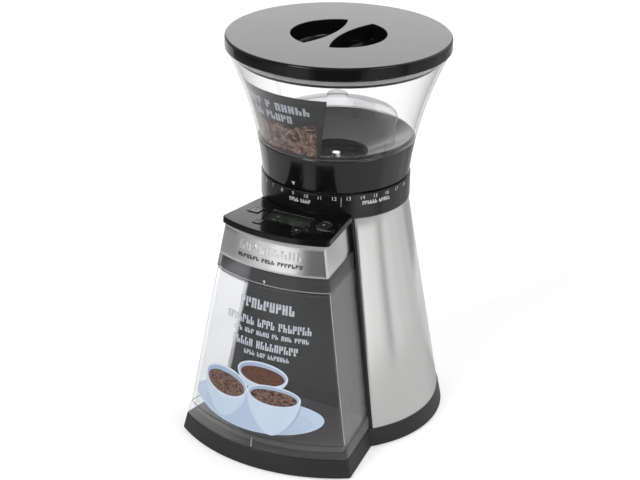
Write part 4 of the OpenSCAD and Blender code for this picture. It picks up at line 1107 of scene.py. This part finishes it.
def digit(x, y, lit):
    """One seven-segment figure on the display."""
    w, h, t = 1.7, 1.7, 0.3
    bars = {
        "a": (-w, w, 2 * h, 0), "b": (w, w, h, 1), "c": (w, w, -h, 1), "d": (-w, w, -2 * h, 0),
        "e": (-w, -w, -h, 1), "f": (-w, -w, h, 1), "g": (-w, w, 0, 0),
    }
    for name in lit:
        x0, x1, mid, upright = bars[name]
        if upright:
            segments.append(ink_bar(x + x0 - t, x + x0 + t, y + mid - h + 0.3, y + mid + h - 0.3, glass_top))
        else:
            segments.append(ink_bar(x + x0 + 0.4, x + x1 - 0.4, y + mid - t, y + mid + t, glass_top))


digit(2.5, -75.0, "bcg")
digit(8.0, -75.0, "abcdef")
for x, y, half in ((-11, -70, 1.4), (-11, -76, 1.4), (-6, -76, 0.8)):
    segments.append(disc(lambda u, v: Vector((x + half * u, y + half * v, glass_top)), 20, 2))
segments.append(ink_bar(-4, 12, -81.0, -80.4, glass_top))
piece("display_figures", joined(segments), "stand", "display_green", finish=lit_figures)

# Plinth: the black base, a round back and a tongue under the grounds chamber
PLINTH_BACK_STEPS = 72


def plinth_outline(level):
    """The base's outline at a height: the tongue's sides and front, and the round back between its ends."""
    inset, z = level
    side = SIDE_AT_AXIS + TONGUE_FLARE - (LEAN + TONGUE_FLARE / PLINTH_TOP) * z - inset * math.hypot(1, SPLAY)
    reach = TONGUE_TIP - (RECLINE + 0.7 / PLINTH_TOP) * z - inset
    round_r = PLINTH_R - inset - PLINTH_LEAN * (z - FOOT_DROP)
    join_f = meeting(side, round_r)
    points = wedge(side, reach, max(0.6, 3.0 - inset), join_f)
    turn = math.atan2(side + SPLAY * join_f, join_f)
    for i in range(1, PLINTH_BACK_STEPS):
        angle = turn + (2 * math.pi - 2 * turn) * i / PLINTH_BACK_STEPS
        points.append((round_r * math.sin(angle), -round_r * math.cos(angle)))
    return points, z


PLINTH_COUNT = len(plinth_outline((0.0, FOOT_DROP))[0])
plinth_levels = [(2.4, PLINTH_TOP - 2.4), (2.4, FOOT_DROP), (0.3, FOOT_DROP), (0.0, FOOT_DROP + 0.4)]
plinth_levels += [(0.0, PLINTH_TOP - 0.9), (0.25, PLINTH_TOP - 0.25), (0.9, PLINTH_TOP)]
plinth_shell = tower(PLINTH_COUNT, placer(plinth_outline), plinth_levels)
piece("plinth_shell", plinth_shell, "stand", "satin_black", ["plinth"])

# Grounds chamber: a clear drawer with a thick band at its foot, and a smoked lid with an inlet
BAND_TOP = CHAMBER_FOOT + 9.0
TUB_INSET = 1.8
EDGE_INSET = TUB_INSET - 0.08


def chamber_outline(level):
    """The chamber's outline. Its back wall is as thick as its sides."""
    inset, z = level
    return block_outline(inset, z, 3.2, CHAMBER_BACK + max(0.0, inset - TUB_INSET)), z


chamber_levels = [
    (1.0, CHAMBER_FOOT),
    (0.45, CHAMBER_FOOT + 0.2),
    (0.3, CHAMBER_FOOT + 0.8),
    (0.3, BAND_TOP - 0.7),
    (0.6, BAND_TOP - 0.15),
    (1.3, BAND_TOP),
    (TUB_INSET, BAND_TOP + 0.35),
    (TUB_INSET, 60.0),
    (TUB_INSET, 100.0),
    (TUB_INSET, CHAMBER_TOP - 0.5),
    (2.3, CHAMBER_TOP),
    (3.5, CHAMBER_TOP),
    (4.0, CHAMBER_TOP - 0.5),
    (4.0, 100.0),
    (4.0, 60.0),
    (4.0, CHAMBER_FOOT + 6.0),
    (4.6, CHAMBER_FOOT + 4.2),
    (6.4, CHAMBER_FOOT + 3.5),
]
CHAMBER_COUNT = len(chamber_outline((0.0, 60.0))[0])
chamber_at = placer(chamber_outline)
chamber_tub = tower(CHAMBER_COUNT, chamber_at, chamber_levels)
piece("chamber_tub", chamber_tub, "grounds_chamber", "chamber_clear", ["chamber"], crease=40)


def corner_strip(first, last, low, high):
    """A narrow strip up a corner of the chamber, between two points of its outline."""
    def spot(u, v):
        at = first + (last - first) * u
        z = low + (high - low) * v
        below = chamber_at(math.floor(at), (EDGE_INSET, z))
        return below.lerp(chamber_at(math.ceil(at), (EDGE_INSET, z)), at % 1)

    return sheet(last - first, 8, spot)


def lip_strip(low, high):
    """A narrow strip right round the chamber at one height."""
    return tower(CHAMBER_COUNT, chamber_at, [(EDGE_INSET, low), (EDGE_INSET, high)], foot=False, top=False)


# Thin strips up the chamber's front corners and round its lips: the dark ones are painted shade and the pale
# ones painted highlight, in place of the lines that light draws along its clear edges
shade_strips = [corner_strip(i, i + 2, BAND_TOP + 2, CHAMBER_TOP - 1) for i in (12, 38)]
shade_strips += [lip_strip(CHAMBER_TOP - 2.0, CHAMBER_TOP - 1.1), lip_strip(BAND_TOP + 0.9, BAND_TOP + 1.6)]
highlight_strips = [corner_strip(i, i + 2, BAND_TOP + 2, CHAMBER_TOP - 1) for i in (9, 41)]
highlight_strips += [lip_strip(CHAMBER_TOP - 0.9, CHAMBER_TOP - 0.3)]
piece("chamber_edge_shade_lines", joined(shade_strips), "grounds_chamber", "chamber_clear", finish=painted_edge_shade)
piece("chamber_edge_highlight_lines", joined(highlight_strips), "grounds_chamber", "chamber_clear", finish=painted_edge_highlight)

# Its lid: a smoked cap over the tub's mouth, with the inlet that the chute feeds
INLET_Y = -70.0
cup_top = CHAMBER_LID_TOP
cup_foot = CHAMBER_TOP + 0.1
lid_steps = [
    (2.0, cup_top),
    (1.3, cup_top - 0.2),
    (0.9, cup_top - 0.9),
    (0.9, cup_foot),
    (3.3, cup_foot),
    (3.3, cup_top - 2.2),
]
hole_steps = [
    (0.3, cup_top),
    (0.1, cup_top - 0.1),
    (0.0, cup_top - 0.4),
    (0.0, cup_top - 6),
    (2.0, cup_top - 6),
    (2.0, cup_top - 2.2),
]
hole_count, hole_at = rounded_box(0, INLET_Y, 15, 12, 1.5)


def lid_outline(level):
    inset, z = level
    return block_outline(inset, z, 3.0, CHAMBER_BACK + max(0.0, inset - 0.9)), z


lid_at = placer(lid_outline)
piece(
    "chamber_cover",
    pierced(
        (CHAMBER_COUNT, lambda i, level: lid_at(i, lid_steps[level])),
        [(hole_count, lambda i, level: hole_at(i, hole_steps[level]))],
        [0, 1, 2, 3, 4, 5],
    ),
    "grounds_chamber",
    "chamber_smoke",
    ["chamber_lid"],
)


rim_levels = [(4.3, cup_foot - 5.0), (4.3, cup_foot), (4.3, cup_top - 2.3)]
cover_rim = tower(CHAMBER_COUNT, chamber_at, rim_levels, foot=False, top=False)
piece("chamber_cover_rim", cover_rim, "grounds_chamber", "chamber_smoke")


# The film on the chamber's front: lines of strokes over a plate with three bowls
FRONT_R = 118.0


def on_front(s, z, out):
    """A point on the chamber's round front, from a distance round it and a height."""
    return polar(REACH - RECLINE * z - TUB_INSET + out, s / FRONT_R, z)


def oval(s, z, half_w, half_h, lean, out):
    """A flat oval printed on the chamber's front, leaning along its length."""
    return lambda x, y: on_front(s + half_w * x, z + half_h * y + lean * half_w * x, out)


def bowl_print(s, z, half_w, half_h, drop, narrow, out):
    """The side of a printed bowl: an oval whose lower half is drawn down."""
    def place(x, y):
        fall = max(0.0, -y)
        width = half_w * (1 - narrow * fall * fall)
        return on_front(s + width * x, z + (half_h * y if y > 0 else drop * y), out)

    return place


def on_chamber(s, z):
    """A point of the printed lines, just off the chamber's front."""
    return on_front(s, z, 0.06)


lines = stroke_line(-22, 28, 128.5, 7.6, (9,), on_chamber)
lines += stroke_line(-34, 42, 114.5, 6.2, (7, 4, 7), on_chamber)
lines += stroke_line(-26, 40, 106.5, 3.6, (3, 3, 4, 2, 3, 4), on_chamber)
lines += stroke_line(-26, 32, 97.5, 6.0, (5, 9), on_chamber)
lines += stroke_line(-14, 25, 90.0, 3.6, (4, 3, 7), on_chamber)
piece("chamber_lines", joined(lines), "grounds_chamber", "chamber_clear", finish=pale_ink)
film_plate = disc(oval(-4, 44, 57, 15.5, 0.03, 0.06), 72, 12)
piece("film_plate", film_plate, "grounds_chamber", "chamber_clear", finish=china)
plate_shade = disc(oval(-2, 41, 47, 11.5, 0.03, 0.2), 72, 12)
piece("film_plate_shade", plate_shade, "grounds_chamber", "chamber_clear", finish=china_deep)

# Each bowl: how far its middle is round the front, its height, the half width and half height of its mouth,
# its drop, and what is in it
bowls = [
    (-29.5, 60.0, 22.0, 12.0, 28.0, lumps_print),
    (3.5, 75.5, 21.5, 9.5, 16.0, grounds_print),
    (14.0, 60.5, 21.5, 8.2, 31.0, lumps_print),
]
for number, (s, z, half_w, half_h, drop, filling) in enumerate(bowls):
    out = 0.3 + 0.3 * number
    side = bowl_print(s, z, half_w, half_h, drop, 0.35, out)
    rim = oval(s, z, half_w, half_h, 0, out + 0.06)
    inside = oval(s, z, half_w * 0.93, half_h * 0.88, 0, out + 0.12)
    filled = oval(s + 0.3, z - half_h * 0.12, half_w * 0.86, half_h * 0.72, 0, out + 0.18)
    layers = [
        ("film_bowl", side, 8, china_pale),
        ("film_bowl_rim", rim, 6, china_light),
        ("film_bowl_inside", inside, 6, china_shade),
        ("film_coffee", filled, 6, filling),
    ]
    for layer, place, rings, finish in layers:
        piece(f"{layer}_{number}", disc(place, 48, rings), "grounds_chamber", "chamber_clear", finish=finish)


def front_mark(points):
    """A small printed shape on the chamber's lid or band, from (s, height) corners."""
    def place(i, level):
        s, z, out = *points[i], level
        return on_front(s, z, out)

    return tower(len(points), place, [1.6, 1.7])


piece(
    "chamber_mark",
    front_mark([(-1.2, 148.4), (1.2, 148.4), (0.0, 145.9)]),
    "grounds_chamber",
    "chamber_smoke",
    finish=white_ink,
)
notch_foot = CHAMBER_FOOT + 1.2
notch_top = BAND_TOP - 0.8
piece(
    "chamber_notch",
    front_mark([(-0.5, notch_foot), (0.5, notch_foot), (0.5, notch_top), (-0.5, notch_top)]),
    "grounds_chamber",
    "chamber_clear",
    finish=dim_ink,
)

# ---- CAD nodes that show as they are ------------------------------------------------------------

node_slots = {part["node"]: part["material_slot"] for part in frame["record"]["subparts"]}
for name, node in frame["nodes"].items():
    if node.hide_render:
        continue
    node.material_slots[0].material = finishes[node_slots[name]]

# ---- Surroundings -------------------------------------------------------------------------------


bpy.ops.mesh.primitive_plane_add(size=24, location=(0, 0, 0))
floor = bpy.context.object
floor.name = "floor"
paper = Paint("floor_paper")
seen_directly = paper.node("ShaderNodeLightPath", out="Is Camera Ray")
fibres = paper.noise(3, 2)
floor.data.materials.append(paper.done(paper.body({
    "Base Color": paper.mix(fibres, grey(0.6), grey(0.62)),
    "Roughness": 0.9,
    "Specular IOR Level": 0.0,
    "Emission Color": paper.mix(seen_directly, grey(0.0), grey(0.5)),
    "Emission Strength": 1.0,
})))

# Cards that lie on the floor where only reflections see them, and give the steel its light and dark bands.
# Each has a start and end heading in degrees, a near and far edge in metres, and a glow.
cards = [
    (-150, -98, 0.12, 4, 1.0),
    (-98, -53, 0.45, 0.9, 0.36),
    (-98, -53, 0.9, 4, 0.2),
    (-53, -46, 0.45, 4, 0.42),
    (-46, -36, 0.45, 4, 0.52),
    (-36, -22, 0.45, 4, 0.8),
    (-22, 0, 0.45, 4, 1.15),
    (0, 5, 0.45, 4, 0.5),
    (5, 50, 0.45, 4, 0.13),
    (56, 72, 0.45, 4, 1.1),
    (72, 86, 0.45, 4, 0.98),
    (86, 92, 0.4, 4, 0.8),
    (92, 99, 0.4, 4, 0.4),
    (99, 112, 0.35, 4, 0.84),
    (112, 130, 0.35, 4, 0.74),
    (130, 150, 0.3, 4, 0.66),
    (150, 174, 0.85, 4, 0.42),
    (174, 183, 0.85, 4, 0.52),
    (183, 200, 0.85, 4, 0.7),
    (150, 200, 0.3, 0.42, 0.8),
    (150, 174, 0.42, 0.85, 0.42),
    (174, 200, 0.42, 0.85, 0.5),
    (148, 204, 0.1, 0.3, 0.7),
]


def card_paint(name, level):
    """A card's glow, slightly uneven."""
    paint = Paint(name)
    glow = paint.mix(paint.noise(5, 2), grey(level * 0.97), grey(level * 1.03))
    return paint.done(paint.node("ShaderNodeEmission", {"Color": glow}))


def card_spot(start, stop, near, far):
    """A place function for a card, a sector of the floor about the burr axis."""
    return lambda u, v: polar((near + (far - near) * v) / MM, math.radians(start + (stop - start) * u), 1.0)


for number, (start, stop, near, far, level) in enumerate(cards):
    name = f"card_{number}"
    card_bm = sheet(6, 1, card_spot(start, stop, near, far))
    card_bm.transform(TO_ROW)
    card_mesh = bpy.data.meshes.new(name)
    card_bm.to_mesh(card_mesh)
    card_bm.free()
    card_mesh.materials.append(card_paint(name, level))
    card = bpy.data.objects.new(name, card_mesh)
    scene.collection.objects.link(card)
    card.visible_camera = False
    card.visible_diffuse = False
    card.visible_shadow = False
    card.visible_transmission = False

# Sky: an even pale dome with four soft lamps, each at a heading from the front and a height
scene.world = bpy.data.worlds.new("studio")
sky = Paint("studio", scene.world)
heading = sky.node("ShaderNodeTexCoord", out="Generated")
across_x, along_y, up_z = [sky.node("ShaderNodeSeparateXYZ", {0: heading}, out=axis) for axis in "XYZ"]
sky_turn = sky.maths("ARCTAN2", across_x, along_y * -1.0)
sky_rise = sky.maths("ARCSINE", up_z)
SKY_GLOW = 0.42


def soft_window(value, low, high, blur):
    """1 between two angles in degrees, fading to 0 outside them."""
    low, high, blur = math.radians(low), math.radians(high), math.radians(blur)
    rising = {0: value, 1: low - blur, 2: low + blur, 3: 0.0, 4: 1.0}
    falling = {0: value, 1: high - blur, 2: high + blur, 3: 1.0, 4: 0.0}
    opened = sky.node("ShaderNodeMapRange", rising, interpolation_type="SMOOTHSTEP")
    return opened * sky.node("ShaderNodeMapRange", falling, interpolation_type="SMOOTHSTEP")


def lamp(turn_low, turn_high, rise_low, rise_high, blur, strength):
    """A soft lamp in the sky, between two headings and two heights."""
    turned = soft_window(sky_turn, turn_low, turn_high, blur)
    return turned * soft_window(sky_rise, rise_low, rise_high, blur) * strength


light = lamp(-27, -5, 32, 46, 2, 18.0) + lamp(64, 94, 32, 44, 2, 9.0)
light = light + lamp(110, 175, 10, 60, 12, 1.0) + lamp(-172, -130, 6, 44, 5, 1.85) + SKY_GLOW
seen = sky.node("ShaderNodeLightPath", out="Is Camera Ray")
light = light * (1.0 - seen) + seen
dome = sky.node("ShaderNodeBackground", {"Color": (1, 1, 1, 1), "Strength": light})
sky.done(dome, "ShaderNodeOutputWorld")

# Camera: its heading, height above the table and roll, and the point that it looks at, in metres
TURN, RISE, ROLL = math.radians(28.4124), math.radians(24.3627), math.radians(0.99651)
CAMERA_AWAY = 1.24773
back = Vector((math.sin(TURN) * math.cos(RISE), -math.cos(TURN) * math.cos(RISE), math.sin(RISE)))
right = Vector((math.cos(TURN), math.sin(TURN), 0.0))
up = back.cross(right)
across = math.cos(ROLL) * right + math.sin(ROLL) * up
upward = math.cos(ROLL) * up - math.sin(ROLL) * right
target = right * -0.011365 + Vector((0.0, 0.02065, 0.13869))
camera_data = bpy.data.cameras.new("camera")
camera_data.lens = 88.65
camera_data.sensor_width = 36.0
camera_data.dof.use_dof = False
camera = bpy.data.objects.new("camera", camera_data)
scene.collection.objects.link(camera)
stance = Matrix((across, upward, back)).transposed().to_4x4()
stance.translation = target + back * CAMERA_AWAY
camera.matrix_world = stance
bpy.context.scene.camera = camera
scene.view_settings.view_transform = "Standard"
